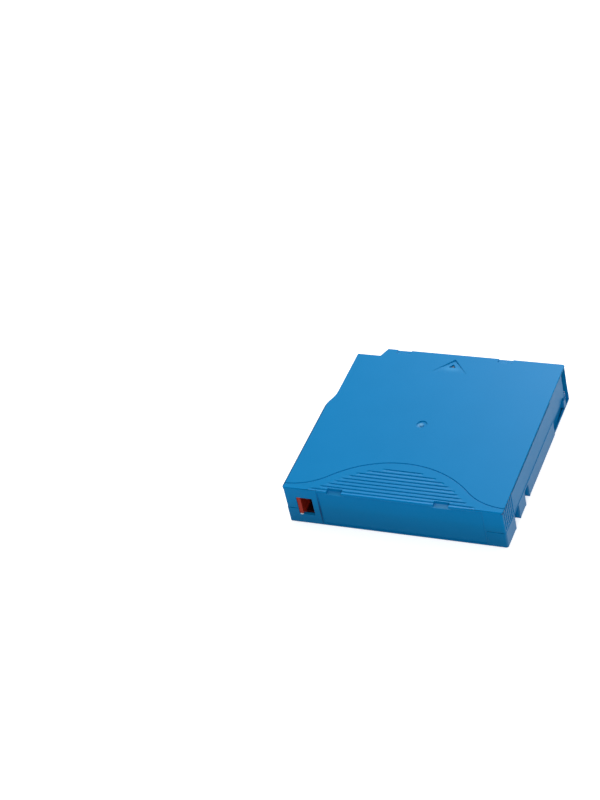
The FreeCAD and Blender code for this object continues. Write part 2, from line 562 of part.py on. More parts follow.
def make_upper_shell():
    """The lid: roof, upper walls, the label panel down to the floor, the grip and the brake's key."""
    body = new_body("upper_shell")
    prism(body, "roof_plate", "XY", CEILING, "case_height", [case_outline("0")])
    top = value("case_height") - HAIR
    finish_edges(body, "rim", "Fillet", "edge_round", lambda box: box.ZMin > top)
    prism(body, "walls", "XY", "parting", CEILING, [case_outline("roof_overhang")])
    prism(body, "cavity", "XY", "parting", CEILING, [cavity_outline()], cut=True)
    prism(body, "label_panel", "XY", "floor", "parting",
          [rectangle(PANEL_LEFT, PANEL_RIGHT, REAR, REAR_INSIDE)])
    prism(body, "label_recess", "XZ", REAR, f"{REAR} + label_deep",
          [rectangle(f"{PANEL_LEFT} + label_margin", f"{PANEL_RIGHT} - label_margin",
                     "floor", "label_top")], cut=True)
    tab_top = "tab_low + tab_tall"
    tab_guide(body, f"{tab_top} + tab_play", CEILING, f"{tab_top} - guide_rib_tall", CEILING)
    prism(body, "window", "XZ", REAR, REAR_INSIDE,
          [rectangle(WINDOW_LEFT, WINDOW_RIGHT, "parting", "window_low + window_tall")], cut=True)
    door_slot(body, "parting", CEILING)
    prism(body, "door_opening", "XY", "parting", CEILING,
          [rectangle(RIGHT_INSIDE, RIGHT, OPENING_REAR, f"{FRONT} - front_lip")], cut=True)
    prism(body, "side_seam", "XY", f"{CEILING} - seam_tall", CEILING,
          [rectangle(f"{RIGHT} - roof_overhang - seam_deep", RIGHT, f"{REAR} + seam_start",
                     OPENING_REAR)], cut=True)
    prism(body, "lip_inset", "XY", "parting", CEILING,
          [rectangle(f"{RIGHT} - lip_inset", RIGHT, f"{FRONT} - front_lip", FRONT)], cut=True)
    door_rail(body, f"{CEILING} - rail_tall", CEILING)
    pin_seat(body, f"{CEILING} - seat_tall", CEILING)
    leaf_post(body, f"{CEILING} - post_tall", CEILING)
    prism(body, "bosses", "XY", "parting", CEILING, [(x, y, "boss_radius") for x, y in boss_places()])
    prism(body, "pilot_holes", "XY", "parting",
          "screw_seat + screw_length + pilot_spare",
          [(x, y, "screw_shank + pilot_play") for x, y in boss_places()], cut=True)
    ring = "brake_spring_radius + brake_spring_wire + spring_ring_gap"
    prism(body, "spring_ring", "XY", f"{CEILING} - spring_ring_tall", CEILING,
          [(REEL_X, "0", ring), (REEL_X, "0", f"{ring} + spring_ring")])
    half = "key_long / 2"
    thin = "key_wide / 2"
    prism(body, "key_bar", "XY", "key_low", CEILING,
          [rectangle(f"{REEL_X} - {half}", f"{REEL_X} + {half}", f"-{thin}", thin)])
    prism(body, "key_cross", "XY", "key_low", CEILING,
          [rectangle(f"{REEL_X} - {thin}", f"{REEL_X} + {thin}", f"-{half}", half)])
    prism(body, "arch", "XY", "case_height - arch_deep", "case_height", [arch_line()], cut=True)
    cut_grip(body)
    cut_arrow(body)
    prism(body, "gate_mark", "XY", "case_height - gate_deep", "case_height",
          [(REEL_X, "0", "gate_radius"), (REEL_X, "0", "gate_nub")], cut=True)
    cut_nests(body)
    cut_side_grooves(body)
    return body


def make_case_screws():
    """The four screws that come up from below: a pan head, a cross recess and a shank."""
    body = new_body("one_screw")
    head_low = "screw_seat - screw_head_height"
    tip = "screw_seat + screw_length"
    turn(body, "form", [
        ("0", head_low), ("screw_head", head_low), ("screw_head", "screw_seat"),
        ("screw_shank", "screw_seat"), ("screw_shank", tip), ("0", tip)])
    long, thin = "drive_long / 2", "drive_wide / 2"
    top = f"{head_low} + drive_deep"
    prism(body, "drive_bar", "XY", head_low, top,
          [rectangle(f"-{long}", long, f"-{thin}", thin)], cut=True)
    prism(body, "drive_cross", "XY", head_low, top,
          [rectangle(f"-{thin}", thin, f"-{long}", long)], cut=True)
    doc.recompute()
    screws = doc.addObject("Part::Feature", "case_screws")
    screws.Label = "case_screws"
    places = [FreeCAD.Vector(value(x), value(y), 0) for x, y in boss_places()]
    screws.Shape = Part.makeCompound([body.Shape.translated(place) for place in places])
    return screws


def make_write_protect_tab():
    """The red slider behind the rear window: a ridge for a fingernail beside a deep pocket."""
    body = new_body("write_protect_tab")
    face = f"{REAR_INSIDE} + tab_play"
    top = "tab_low + tab_tall"
    prism(body, "slide", "XY", "tab_low", top, [rectangle(TAB_LEFT, TAB_RIGHT, face, TAB_BACK)])
    ridge = f"{WINDOW_LEFT} + tab_ridge_left"
    flank = f"{ridge} + tab_ridge_wide"
    prism(body, "ridge", "XY", "window_low + tab_play", "window_low + window_tall - tab_play",
          [rectangle(ridge, flank, f"{face} - tab_ridge_out", face)])
    low = "(tab_low + guide_rib_tall + pocket_play)"
    high = f"({top} - guide_rib_tall - pocket_play)"
    back = f"{TAB_BACK} + pocket_deep"
    prism(body, "pocket_block", "XY", low, high,
          [rectangle(f"{flank} - pocket_wall", TAB_RIGHT, TAB_BACK, back)])
    prism(body, "pocket", "XY", f"{low} + pocket_wall", f"{high} - pocket_wall",
          [rectangle(flank, f"{TAB_RIGHT} - pocket_wall", face, f"{back} - pocket_wall")], cut=True)
    return body


def make_sliding_door():
    """The tape door: a plate with a toe and a tab for the drive's finger, and a lug for its spring."""
    body = new_body("sliding_door")
    low, high = "floor + door_play", f"{CEILING} - door_play"
    stepped = f"{DOOR_OUT} - door_step"
    prism(body, "plate", "XY", low, high, [rectangle(DOOR_IN, DOOR_OUT, DOOR_REAR, DOOR_FRONT)])
    prism(body, "step", "XY", low, "door_step_tall",
          [rectangle(stepped, DOOR_OUT, DOOR_REAR, DOOR_FRONT)], cut=True)
    tab_front = f"{DOOR_FRONT} - door_tab_front"
    tab_top = "door_step_tall - door_tab_drop"
    prism(body, "finger_tab", "XY", low, tab_top,
          [rectangle(stepped, f"{stepped} + door_tab_out", f"{tab_front} - door_tab_wide", tab_front)])
    prism(body, "toe", "XY", low, tab_top,
          [rectangle(DOOR_IN, f"{stepped} + toe_out", tab_front, f"{FRONT} - front_lip - toe_gap")])
    prism(body, "spring_lug", "XY", "door_spring_z - lug_tall / 2", "door_spring_z + lug_tall / 2",
          [rectangle(f"{DOOR_IN} - lug_reach", DOOR_IN, DOOR_REAR, f"{DOOR_REAR} + lug_long")])
    prism(body, "spring_pin", "XZ", f"{DOOR_REAR} - spring_pin_long", DOOR_REAR,
          [(SPRING_X, "door_spring_z", "spring_pin")])
    return body


def coil(name, radius, wire, length, turns):
    """A wire coil along its own upright axis, lofted through sections evenly spaced round each turn."""
    sections, sides = round(value("coil_sections")), round(value("coil_sides"))
    rise = value(length) / value(turns)
    mean, half = value(radius), value(wire)
    rings = []
    for step in range(round(value(turns) * sections) + 1):
        angle = 2 * math.pi * step / sections
        outward = FreeCAD.Vector(math.cos(angle), math.sin(angle), 0)
        ahead = FreeCAD.Vector(-mean * outward.y, mean * outward.x, rise / (2 * math.pi))
        across = ahead.cross(outward).normalize()
        centre = outward * mean + FreeCAD.Vector(0, 0, rise * step / sections)
        corners = []
        for corner in range(sides):
            way = 2 * math.pi * corner / sides
            corners.append(centre + outward * (half * math.cos(way)) + across * (half * math.sin(way)))
        rings.append(Part.makePolygon(corners + corners[:1]))
    spring = doc.addObject("Part::Feature", name)
    spring.Label = name
    spring.Shape = Part.makeLoft(rings, True, True)
    return spring


def make_door_spring():
    """The long thin coil that pushes the door shut."""
    gap = "spring_end_play + door_spring_wire"
    length = f"{DOOR_REAR} - {SPRING_SEAT} - 2 * ({gap})"
    spring = coil("door_spring", "door_spring_out - door_spring_wire", "door_spring_wire", length,
                  "door_spring_turns")
    spring.Placement = FreeCAD.Placement(
        FreeCAD.Vector(value(SPRING_X), value(f"{SPRING_SEAT} + {gap}"), value("door_spring_z")),
        FreeCAD.Rotation(FreeCAD.Vector(-1, 0, 0), 90))
    return spring


def make_brake_spring():
    """The coil between the roof and the brake button."""
    low = "button_low + button_thick + spring_end_play + brake_spring_wire"
    high = f"{CEILING} - spring_end_play - brake_spring_wire"
    spring = coil("brake_spring", "brake_spring_radius", "brake_spring_wire", f"{high} - ({low})",
                  "brake_spring_turns")
    spring.Placement = FreeCAD.Placement(
        FreeCAD.Vector(value(REEL_X), 0, value(low)), FreeCAD.Rotation())
    return spring


def tooth(body, name, low, high, inner, outer, wide, hanging=False):
    """One radial tooth with sloped flanks, standing up or hanging down."""
    sketch = sketch_on(body, name, "XY", high if hanging else low)
    draw(sketch, [rectangle(inner, outer, f"-{wide} / 2", f"{wide} / 2")])
    feature = body.newObject("PartDesign::Pad", name)
    feature.Profile = sketch
    feature.Reversed = hanging
    feature.setExpression("Length", formula(f"({high}) - ({low})"))
    feature.setExpression("TaperAngle", formula("-tooth_slope"))
    return feature


def leg_outlines(spare):
    """The plan of the release pad's legs: blocks evenly spaced on a ring, grown by the spare."""
    half = f"(pad_leg_angle * 1 deg + atan2({spare}; pad_leg_in))"
    outlines = []
    for step in range(round(value("pad_legs"))):
        middle = f"{step} * 360 deg / pad_legs"
        outlines.append([
            (f"({radius}) * cos({middle} {side} {half})", f"({radius}) * sin({middle} {side} {half})")
            for radius, side in ((f"pad_leg_in - {spare}", "-"), (f"pad_leg_out + {spare}", "-"),
                                 (f"pad_leg_out + {spare}", "+"), (f"pad_leg_in - {spare}", "+"))])
    return outlines


def make_reel_hub():
    """The hub, moulded with the lower flange, its floor, the brake teeth and the clutch teeth."""
    body = new_body("reel_hub")
    inner = "hub_radius - hub_wall"
    turn(body, "form", [
        ("0", "hub_floor_low"), (inner, "hub_floor_low"), (inner, "hub_low"),
        ("hub_radius - hub_step", "hub_low"), ("hub_radius", "flange_low"),
        ("flange_radius", "flange_low"), ("flange_radius", "flange_low + flange_thick"),
        ("hub_radius", "flange_low + flange_thick"), ("hub_radius", FLANGE_TOP_LOW),
        (inner, FLANGE_TOP_LOW), (inner, HUB_FLOOR_TOP), ("0", HUB_FLOOR_TOP)])
    prism(body, "leg_holes", "XY", "hub_floor_low", HUB_FLOOR_TOP, leg_outlines("pad_leg_play"),
          cut=True)
    clutch = tooth(body, "clutch_tooth", "hub_floor_low - clutch_tall", "hub_floor_low",
                   "clutch_in", "clutch_out", "clutch_wide", hanging=True)
    repeat_round(body, "clutch_ring", clutch, "clutch_teeth")
    brake = tooth(body, "brake_tooth", HUB_FLOOR_TOP, f"{HUB_FLOOR_TOP} + brake_tall",
                  "brake_in", "brake_out", "brake_wide")
    repeat_round(body, "brake_ring", brake, "brake_teeth")
    stand_on_reel_axis(body)
    return body


def make_reel_upper_flange():
    """The upper flange, welded on the top of the hub."""
    body = new_body("reel_upper_flange")
    top = f"{FLANGE_TOP_LOW} + flange_thick"
    turn(body, "form", [
        ("hub_radius - hub_wall", FLANGE_TOP_LOW), ("flange_radius", FLANGE_TOP_LOW),
        ("flange_radius", top), ("hub_radius - hub_wall", top)])
    stand_on_reel_axis(body)
    return body


def make_reel_drive_plate():
    """The steel washer under the hub that the drive's magnet holds."""
    body = new_body("reel_drive_plate")
    prism(body, "washer", "XY", "hub_floor_low - plate_thick", "hub_floor_low",
          [("0", "0", "plate_out"), ("0", "0", "plate_in")] + leg_outlines("pad_leg_play"))
    stand_on_reel_axis(body)
    return body


def make_tape_pack():
    """The wound tape: all its turns as one ring between the flanges."""
    body = new_body("tape_pack")
    top = f"{TAPE_LOW} + tape_width"
    turn(body, "form", [("hub_radius", TAPE_LOW), ("pack_radius", TAPE_LOW),
                        ("pack_radius", top), ("hub_radius", top)])
    stand_on_reel_axis(body)
    return body


def make_tape_lead():
    """The first stretch of tape, straight from the outside of the pack to the clip."""
    reach = f"sqrt(({PIN_X} - {REEL_X}) ^ 2 + {PIN_Y} ^ 2)"
    radius = "(pack_radius + clip_play)"
    angle = f"(atan2({PIN_Y}; {PIN_X} - {REEL_X}) + acos({radius} / {reach}))"
    lead = doc.addObject("Part::Box", "tape_lead")
    lead.Label = "tape_lead"
    free = f"sqrt({reach} ^ 2 - {radius} ^ 2)"
    lead.setExpression("Length", formula(f"{free} - pin_neck - clip_thick - 2 * clip_play"))
    lead.setExpression("Width", formula("film"))
    lead.setExpression("Height", formula("tape_width"))
    lead.Placement = FreeCAD.Placement(
        FreeCAD.Vector(0, 0, 0), FreeCAD.Rotation(FreeCAD.Vector(0, 0, 1), 1))
    lead.setExpression("Placement.Rotation.Angle", formula(f"{angle} - 90 deg"))
    lead.setExpression("Placement.Base.x", formula(f"{REEL_X} + {radius} * cos({angle})"))
    lead.setExpression("Placement.Base.y", formula(f"{radius} * sin({angle})"))
    lead.setExpression("Placement.Base.z", formula(TAPE_LOW))
    return lead


def make_leader_pin():
    """The steel pin at the tape's end, with a head at each end of its neck."""
    body = new_body("leader_pin")
    low, high = "floor + pin_play", f"{CEILING} - pin_play"
    turn(body, "form", [
        ("0", low), ("pin_head", low), ("pin_head", f"{low} + pin_head_tall"),
        ("pin_neck", f"{low} + pin_head_tall + pin_cone"),
        ("pin_neck", f"{high} - pin_head_tall - pin_cone"),
        ("pin_head", f"{high} - pin_head_tall"), ("pin_head", high), ("0", high)])
    body.setExpression("Placement.Base.x", formula(PIN_X))
    body.setExpression("Placement.Base.y", formula(PIN_Y))
    return body


def make_tape_clip():
    """The sprung clip that clamps the tape on the pin's neck, open on the side away from the tape."""
    body = new_body("tape_clip")
    inner = "pin_neck + clip_play"
    top = f"{TAPE_LOW} + tape_width"
    ring = turn(body, "form", [(inner, TAPE_LOW), (f"{inner} + clip_thick", TAPE_LOW),
                               (f"{inner} + clip_thick", top), (inner, top)])
    ring.setExpression("Angle", formula("clip_angle"))
    body.Placement = FreeCAD.Placement(
        FreeCAD.Vector(0, 0, 0), FreeCAD.Rotation(FreeCAD.Vector(0, 0, 1), 1))
    body.setExpression("Placement.Rotation.Angle", formula("180 - clip_angle / 2"))
    body.setExpression("Placement.Base.x", formula(PIN_X))
    body.setExpression("Placement.Base.y", formula(PIN_Y))
    return body


def make_leader_pin_spring():
    """The leaf spring: a strip held in two posts, with an arm behind each head of the pin."""
    body = new_body("leader_pin_spring")
    arm = f"({PIN_X} + pin_head + leaf_gap)"
    hook = f"({arm} - leaf_hook_in)"
    flare = f"({hook} + leaf_flare_out)"
    start = f"{PIN_X} - leaf_back - post_wide / 2"
    low, high = "floor + pin_play", f"{CEILING} - pin_play"
    strip = [
        (start, LEAF_Y), (arm, LEAF_Y), (arm, f"{PIN_Y} - leaf_bend"),
        (hook, f"{PIN_Y} - leaf_hook"), (flare, f"{PIN_Y} - leaf_flare"),
        (f"{flare} + leaf_thick", f"{PIN_Y} - leaf_flare"),
        (f"{hook} + leaf_thick", f"{PIN_Y} - leaf_hook"),
        (f"{arm} + leaf_thick", f"{PIN_Y} - leaf_bend"),
        (f"{arm} + leaf_thick", f"{LEAF_Y} + leaf_thick"), (start, f"{LEAF_Y} + leaf_thick")]
    prism(body, "strip", "XY", low, high, [strip])
    prism(body, "tape_window", "XY", f"{TAPE_LOW} - leaf_window", f"{TAPE_LOW} + tape_width + leaf_window",
          [rectangle(hook, f"{flare} + leaf_thick + leaf_flare_out",
                     f"{PIN_Y} - leaf_flare - leaf_bend", f"{LEAF_Y} - leaf_shoulder")], cut=True)
    return body


def make_brake_button():
    """The brake: a dished disc with teeth below and a keyed post above."""
    body = new_body("brake_button")
    top = "button_low + button_thick"
    post = f"{top} + button_post_tall"
    turn(body, "form", [
        ("0", "button_low + button_dish_deep"), ("button_dish", "button_low + button_dish_deep"),
        ("button_dish", "button_low"), ("button_radius", "button_low"), ("button_radius", top),
        ("button_post", top), ("button_post", post), ("0", post)])
    half = "(key_long / 2 + key_play)"
    thin = "(key_wide / 2 + key_play)"
    prism(body, "key_socket", "XY", "key_socket_low", post,
          [rectangle(f"-{half}", half, f"-{thin}", thin)], cut=True)
    prism(body, "key_socket_cross", "XY", "key_socket_low", post,
          [rectangle(f"-{thin}", thin, f"-{half}", half)], cut=True)
    first = tooth(body, "tooth", "button_low - brake_tall", "button_low",
                  "brake_in", "brake_out", "brake_wide", hanging=True)
    first.Profile[0].setExpression("AttachmentOffset.Rotation.Angle", formula("180 / brake_teeth"))
    repeat_round(body, "teeth", first, "brake_teeth")
    stand_on_reel_axis(body)
    return body


def make_release_pad():
    """The pad under the brake, whose three legs reach down through the hub to the drive."""
    body = new_body("release_pad")
    prism(body, "disc", "XY", "pad_low", "pad_low + pad_thick",
          [("0", "0", "pad_radius"), ("0", "0", "pad_hole")])
    prism(body, "legs", "XY", "pad_leg_low", "pad_low", leg_outlines("0"))
    stand_on_reel_axis(body)
    return body


def lay_on_board(piece):
    """Turn a piece made flat, face down, on to the 45 degree slope that carries the memory board."""
    reach = "(board_lift + board_thick) / sqrt(2)"
    piece.Placement = FreeCAD.Placement(
        FreeCAD.Vector(0, 0, 0), FreeCAD.Rotation(FreeCAD.Vector(1, 0, 0), 180 - 45))
    piece.setExpression("Placement.Base.x", formula(BOARD_LEFT))
    piece.setExpression("Placement.Base.y", formula(
        f"{REAR} + board_foot - 2 * board_lift + board_thick * sqrt(2) - {reach}"))
    piece.setExpression("Placement.Base.z", formula(f"floor + 2 * board_lift + {reach}"))


def make_memory_board():
    """The small circuit board that the cartridge memory sits on."""
    board = doc.addObject("Part::Box", "memory_board")
    board.Label = "memory_board"
    board.setExpression("Length", formula("board_wide"))
    board.setExpression("Width", formula("board_long"))
    board.setExpression("Height", formula("board_thick"))
    lay_on_board(board)
    return board


def make_memory_antenna_coil():
    """The flat antenna track round the edge of the board."""
    body = new_body("memory_antenna_coil")
    outer = rectangle("coil_margin", "board_wide - coil_margin", "coil_margin",
                      "board_long - coil_margin")
    inset = "(coil_margin + coil_track)"
    inner = rectangle(inset, f"board_wide - {inset}", inset, f"board_long - {inset}")
    prism(body, "track", "XY", "-coil_thick", "0", [outer, inner])
    lay_on_board(body)
    return body


def make_memory_chip_seal():
    """The drop of resin over the memory chip, with sloped sides."""
    body = new_body("memory_chip_seal")
    sketch = sketch_on(body, "drop", "XY", "0")
    draw(sketch, [("board_wide / 2", "board_long / 2", "chip_radius")])
    drop = body.newObject("PartDesign::Pad", "drop")
    drop.Profile = sketch
    drop.Reversed = True
    drop.setExpression("Length", formula("chip_tall"))
    drop.setExpression("TaperAngle", formula("-chip_slope"))
    lay_on_board(body)
    return body


SUB_PARTS = [
    make_lower_shell, make_upper_shell, make_case_screws, make_write_protect_tab,
    make_sliding_door, make_door_spring, make_reel_hub, make_reel_upper_flange,
    make_reel_drive_plate, make_tape_pack, make_tape_lead, make_leader_pin, make_tape_clip,
    make_leader_pin_spring, make_brake_button, make_brake_spring, make_release_pad,
    make_memory_board, make_memory_antenna_coil, make_memory_chip_seal,
]


def check_document():
    """Stop if a feature failed, or if a pocket took nothing away."""
    for item in doc.Objects:
        if {"Invalid", "Error"} & set(item.State):
            raise RuntimeError(f"{item.Label} failed: {item.State}")
        if item.TypeId == "PartDesign::Pocket":
            before = item.BaseFeature.Shape.Volume
            if item.Shape.Volume > before - HAIR:
                raise RuntimeError(f"{item.Label} cut nothing")


def check_shape(piece):
    """Stop if a sub-part has no sound solid."""
    if piece.Shape.isNull() or not piece.Shape.isValid() or not piece.Shape.Solids:
        raise RuntimeError(f"{piece.Label} has no valid solid")


pieces = [make() for make in SUB_PARTS]
doc.recompute()
check_document()
for piece in pieces:
    check_shape(piece)
os.makedirs("parts", exist_ok=True)
for piece in pieces:
    piece.Shape.exportStep(f"parts/{piece.Label}.step")
    print(piece.Label, len(piece.Shape.Solids), round(piece.Shape.Volume, 2))
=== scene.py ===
import math

import bmesh
import bpy
import numpy as np
from mathutils import Matrix, Vector
from mathutils.bvhtree import BVHTree


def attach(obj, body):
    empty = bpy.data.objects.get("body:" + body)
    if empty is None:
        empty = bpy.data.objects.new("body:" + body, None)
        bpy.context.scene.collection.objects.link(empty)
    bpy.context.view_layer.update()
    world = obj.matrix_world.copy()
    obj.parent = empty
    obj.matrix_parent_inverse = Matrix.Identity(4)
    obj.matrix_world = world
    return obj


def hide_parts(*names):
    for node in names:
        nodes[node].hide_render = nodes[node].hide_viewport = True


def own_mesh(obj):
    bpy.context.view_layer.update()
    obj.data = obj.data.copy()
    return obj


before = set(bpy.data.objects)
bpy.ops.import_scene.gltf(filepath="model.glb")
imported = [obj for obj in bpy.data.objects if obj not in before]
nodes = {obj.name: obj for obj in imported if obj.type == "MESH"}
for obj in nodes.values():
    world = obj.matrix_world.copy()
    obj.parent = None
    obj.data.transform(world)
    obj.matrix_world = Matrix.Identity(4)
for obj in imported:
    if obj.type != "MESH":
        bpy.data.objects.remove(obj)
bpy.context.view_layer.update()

# The cartridge lies flat on a white table and is seen from behind, over its label face.
# The lens is long, so the two long edges of the top nearly stay parallel.
eye = Vector((0.32176, -0.66424, 0.64556))
gaze = Vector((-0.38958, 0.67500, -0.62658))
picture_right = Vector((0.91619, 0.35339, -0.18896))
focal_length_px = 2089.0
picture_height_px = 800
sensor_mm = 36.0
lens = bpy.data.cameras.new("camera")
lens.sensor_width = sensor_mm
lens.lens = sensor_mm * focal_length_px / picture_height_px
lens.clip_start = 0.01
lens.clip_end = 20.0
camera = bpy.data.objects.new("camera", lens)
bpy.context.scene.collection.objects.link(camera)
picture_up = picture_right.cross(gaze).normalized()
turned_to = Matrix((picture_right, picture_up, -gaze)).transposed().to_4x4()
camera.matrix_world = Matrix.Translation(eye) @ turned_to
bpy.context.scene.camera = camera
bpy.context.scene.view_settings.view_transform = "Standard"

# The table is a wide pale sheet. It shows as white, also where the cartridge mirrors it, and it
# keeps the soft shadow. As a light it is dimmer than paper, so walls darken towards it.
table_half = 3.0
table_drop = 0.00002
table_colour = (0.80, 0.80, 0.80, 1)
table_glow = 0.62
table_bounce = (0.54, 0.54, 0.54, 1)


def shown_to_eye(tree):
    """1 for a ray from the camera, from a mirror or through glass, and 0 for one that lights."""
    path = tree.nodes.new("ShaderNodeLightPath")
    total = path.outputs["Is Camera Ray"]
    for kind in ("Is Glossy Ray", "Is Transmission Ray"):
        both = tree.nodes.new("ShaderNodeMath")
        both.operation = "MAXIMUM"
        tree.links.new(total, both.inputs[0])
        tree.links.new(path.outputs[kind], both.inputs[1])
        total = both.outputs[0]
    return total


corners = np.array([(-1, -1), (1, -1), (1, 1), (-1, 1)]) * table_half
table_mesh = bpy.data.meshes.new("table")
table_mesh.from_pydata([(x, y, -table_drop) for x, y in corners], [], [(0, 1, 2, 3)])
table = bpy.data.objects.new("table", table_mesh)
bpy.context.scene.collection.objects.link(table)
paper = bpy.data.materials.new("table_paper")
paper.use_nodes = True
tree = paper.node_tree
tree.nodes.clear()
seen = tree.nodes.new("ShaderNodeBsdfDiffuse")
seen.inputs["Color"].default_value = table_colour
glow = tree.nodes.new("ShaderNodeEmission")
glow.inputs["Strength"].default_value = table_glow
lit = tree.nodes.new("ShaderNodeAddShader")
bounced = tree.nodes.new("ShaderNodeBsdfDiffuse")
bounced.inputs["Color"].default_value = table_bounce
either = tree.nodes.new("ShaderNodeMixShader")
shown = tree.nodes.new("ShaderNodeOutputMaterial")
tree.links.new(seen.outputs[0], lit.inputs[0])
tree.links.new(glow.outputs[0], lit.inputs[1])
tree.links.new(shown_to_eye(tree), either.inputs[0])
tree.links.new(bounced.outputs[0], either.inputs[1])
tree.links.new(lit.outputs[0], either.inputs[2])
tree.links.new(either.outputs[0], shown.inputs["Surface"])
table_mesh.materials.append(paper)

# A big soft lamp hangs overhead, a second one fills from the viewer's side and a third stands
# behind on the right, where the satin top mirrors it. The room is plain white and dim as a light.
room_light = 0.45
world = bpy.data.worlds.new("studio")
bpy.context.scene.world = world
world.use_nodes = True
tree = world.node_tree
tree.nodes.clear()
room = tree.nodes.new("ShaderNodeBackground")
room.inputs["Color"].default_value = (1.0, 1.0, 1.0, 1)
room.inputs["Strength"].default_value = room_light
white = tree.nodes.new("ShaderNodeBackground")
white.inputs["Color"].default_value = (1.0, 1.0, 1.0, 1)
white.inputs["Strength"].default_value = 1.0
either = tree.nodes.new("ShaderNodeMixShader")
shown = tree.nodes.new("ShaderNodeOutputWorld")
tree.links.new(shown_to_eye(tree), either.inputs[0])
tree.links.new(room.outputs[0], either.inputs[1])
tree.links.new(white.outputs[0], either.inputs[2])
tree.links.new(either.outputs[0], shown.inputs["Surface"])


def soft_lamp(name, place, aim, size, power):
    """A square area lamp at a place, facing a point."""
    light = bpy.data.lights.new(name, "AREA")
    light.size = size
    light.energy = power
    lamp = bpy.data.objects.new(name, light)
    bpy.context.scene.collection.objects.link(lamp)
    lamp.location = place
    lamp.rotation_mode = "QUATERNION"
    lamp.rotation_quaternion = (Vector(aim) - Vector(place)).to_track_quat("-Z", "Y")


soft_lamp("overhead", (0.10, -0.05, 1.60), (0, 0, 0), 1.4, 3.5)
soft_lamp("viewer_side", (0.78, -1.30, 0.70), (0, -0.03, 0), 0.9, 6.2)
soft_lamp("behind", (-0.12, 1.20, 0.74), (0.03, 0.02, 0), 0.5, 15.5)

# The lid is one injection moulding in satin blue: roof, upper walls, the label panel, the grip.
# The mould's fine spark texture shows on its faces. Handling has polished its edges and scuffed it
# in places. Highlights and a glint are painted into its colour, and so is shade in its joints,
# under the right lip and towards the bottom of the rear face.
MILLIMETRE = 0.001
blue = (0.001, 0.207, 0.492)


def start_finish(name):
    """A new material: itself, its nodes, its shader and the piece's own coordinates."""
    made = bpy.data.materials.new(name)
    made.use_nodes = True
    net = made.node_tree
    place = net.nodes.new("ShaderNodeTexCoord").outputs["Object"]
    return made, net, net.nodes["Principled BSDF"], place


def feed(net, source, socket):
    """Put a number, a colour or another node's output into a socket."""
    if isinstance(source, bpy.types.NodeSocket):
        net.links.new(source, socket)
    elif isinstance(source, tuple):
        opaque_colour = len(source) == 3 and socket.type == "RGBA"
        socket.default_value = (*source, 1) if opaque_colour else source
    else:
        socket.default_value = source


def speckle(net, place, size_mm, detail=3.0):
    """Noise whose patches are about size_mm across, from 0 to 1."""
    noise = net.nodes.new("ShaderNodeTexNoise")
    noise.inputs["Scale"].default_value = 1 / (size_mm * MILLIMETRE)
    noise.inputs["Detail"].default_value = detail
    net.links.new(place, noise.inputs["Vector"])
    return noise.outputs["Fac"]


def mixed(net, factor, low, high):
    """A colour that runs from low to high as the factor goes from 0 to 1."""
    mix = net.nodes.new("ShaderNodeMix")
    mix.data_type = "RGBA"
    feed(net, factor, mix.inputs["Factor"])
    feed(net, low, mix.inputs["A"])
    feed(net, high, mix.inputs["B"])
    return mix.outputs["Result"]


def spread(net, source, low, high, from_low=0.0, from_high=1.0):
    """Stretch a value's range to low and high, and clip it there."""
    stretched = net.nodes.new("ShaderNodeMapRange")
    stretched.inputs["From Min"].default_value = from_low
    stretched.inputs["From Max"].default_value = from_high
    stretched.inputs["To Min"].default_value = low
    stretched.inputs["To Max"].default_value = high
    net.links.new(source, stretched.inputs["Value"])
    return stretched.outputs["Result"]


def reckon(net, operation, first, second=0.0):
    """One step of arithmetic on two values."""
    step = net.nodes.new("ShaderNodeMath")
    step.operation = operation
    feed(net, first, step.inputs[0])
    feed(net, second, step.inputs[1])
    return step.outputs[0]


def soft_edges(net, radius_mm):
    """The normal, averaged over a small radius, and how far it turns away at an edge, 0 to 1."""
    agree_on_flat, agree_at_edge = 0.995, 0.80
    rounded = net.nodes.new("ShaderNodeBevel")
    rounded.samples = 4
    rounded.inputs["Radius"].default_value = radius_mm * MILLIMETRE
    facing = net.nodes.new("ShaderNodeNewGeometry")
    agree = net.nodes.new("ShaderNodeVectorMath")
    agree.operation = "DOT_PRODUCT"
    net.links.new(rounded.outputs["Normal"], agree.inputs[0])
    net.links.new(facing.outputs["True Normal"], agree.inputs[1])
    edge = spread(net, agree.outputs["Value"], 0.0, 1.0, agree_on_flat, agree_at_edge)
    return rounded.outputs["Normal"], edge


def raise_skin(net, shader, height, depth_mm, strength, normal=None):
    """Bump the shader's normal by a height pattern."""
    skin = net.nodes.new("ShaderNodeBump")
    skin.inputs["Distance"].default_value = depth_mm * MILLIMETRE
    skin.inputs["Strength"].default_value = strength
    net.links.new(height, skin.inputs["Height"])
    if normal is not None:
        net.links.new(normal, skin.inputs["Normal"])
    net.links.new(skin.outputs["Normal"], shader.inputs["Normal"])


def distance_from(net, place, centre_mm, reach_mm):
    """How far a point is from a centre, with the reach along each axis as the unit.

    An axis with no reach doesn't count, so a centre with none along z is an upright line.
    """
    moved = net.nodes.new("ShaderNodeMapping")
    scale = [1 / r if r else 0 for r in reach_mm]
    moved.inputs["Location"].default_value = [-c * s for c, s in zip(centre_mm, scale)]
    moved.inputs["Scale"].default_value = [s / MILLIMETRE for s in scale]
    net.links.new(place, moved.inputs["Vector"])
    length = net.nodes.new("ShaderNodeVectorMath")
    length.operation = "LENGTH"
    net.links.new(moved.outputs["Vector"], length.inputs[0])
    return length.outputs["Value"]


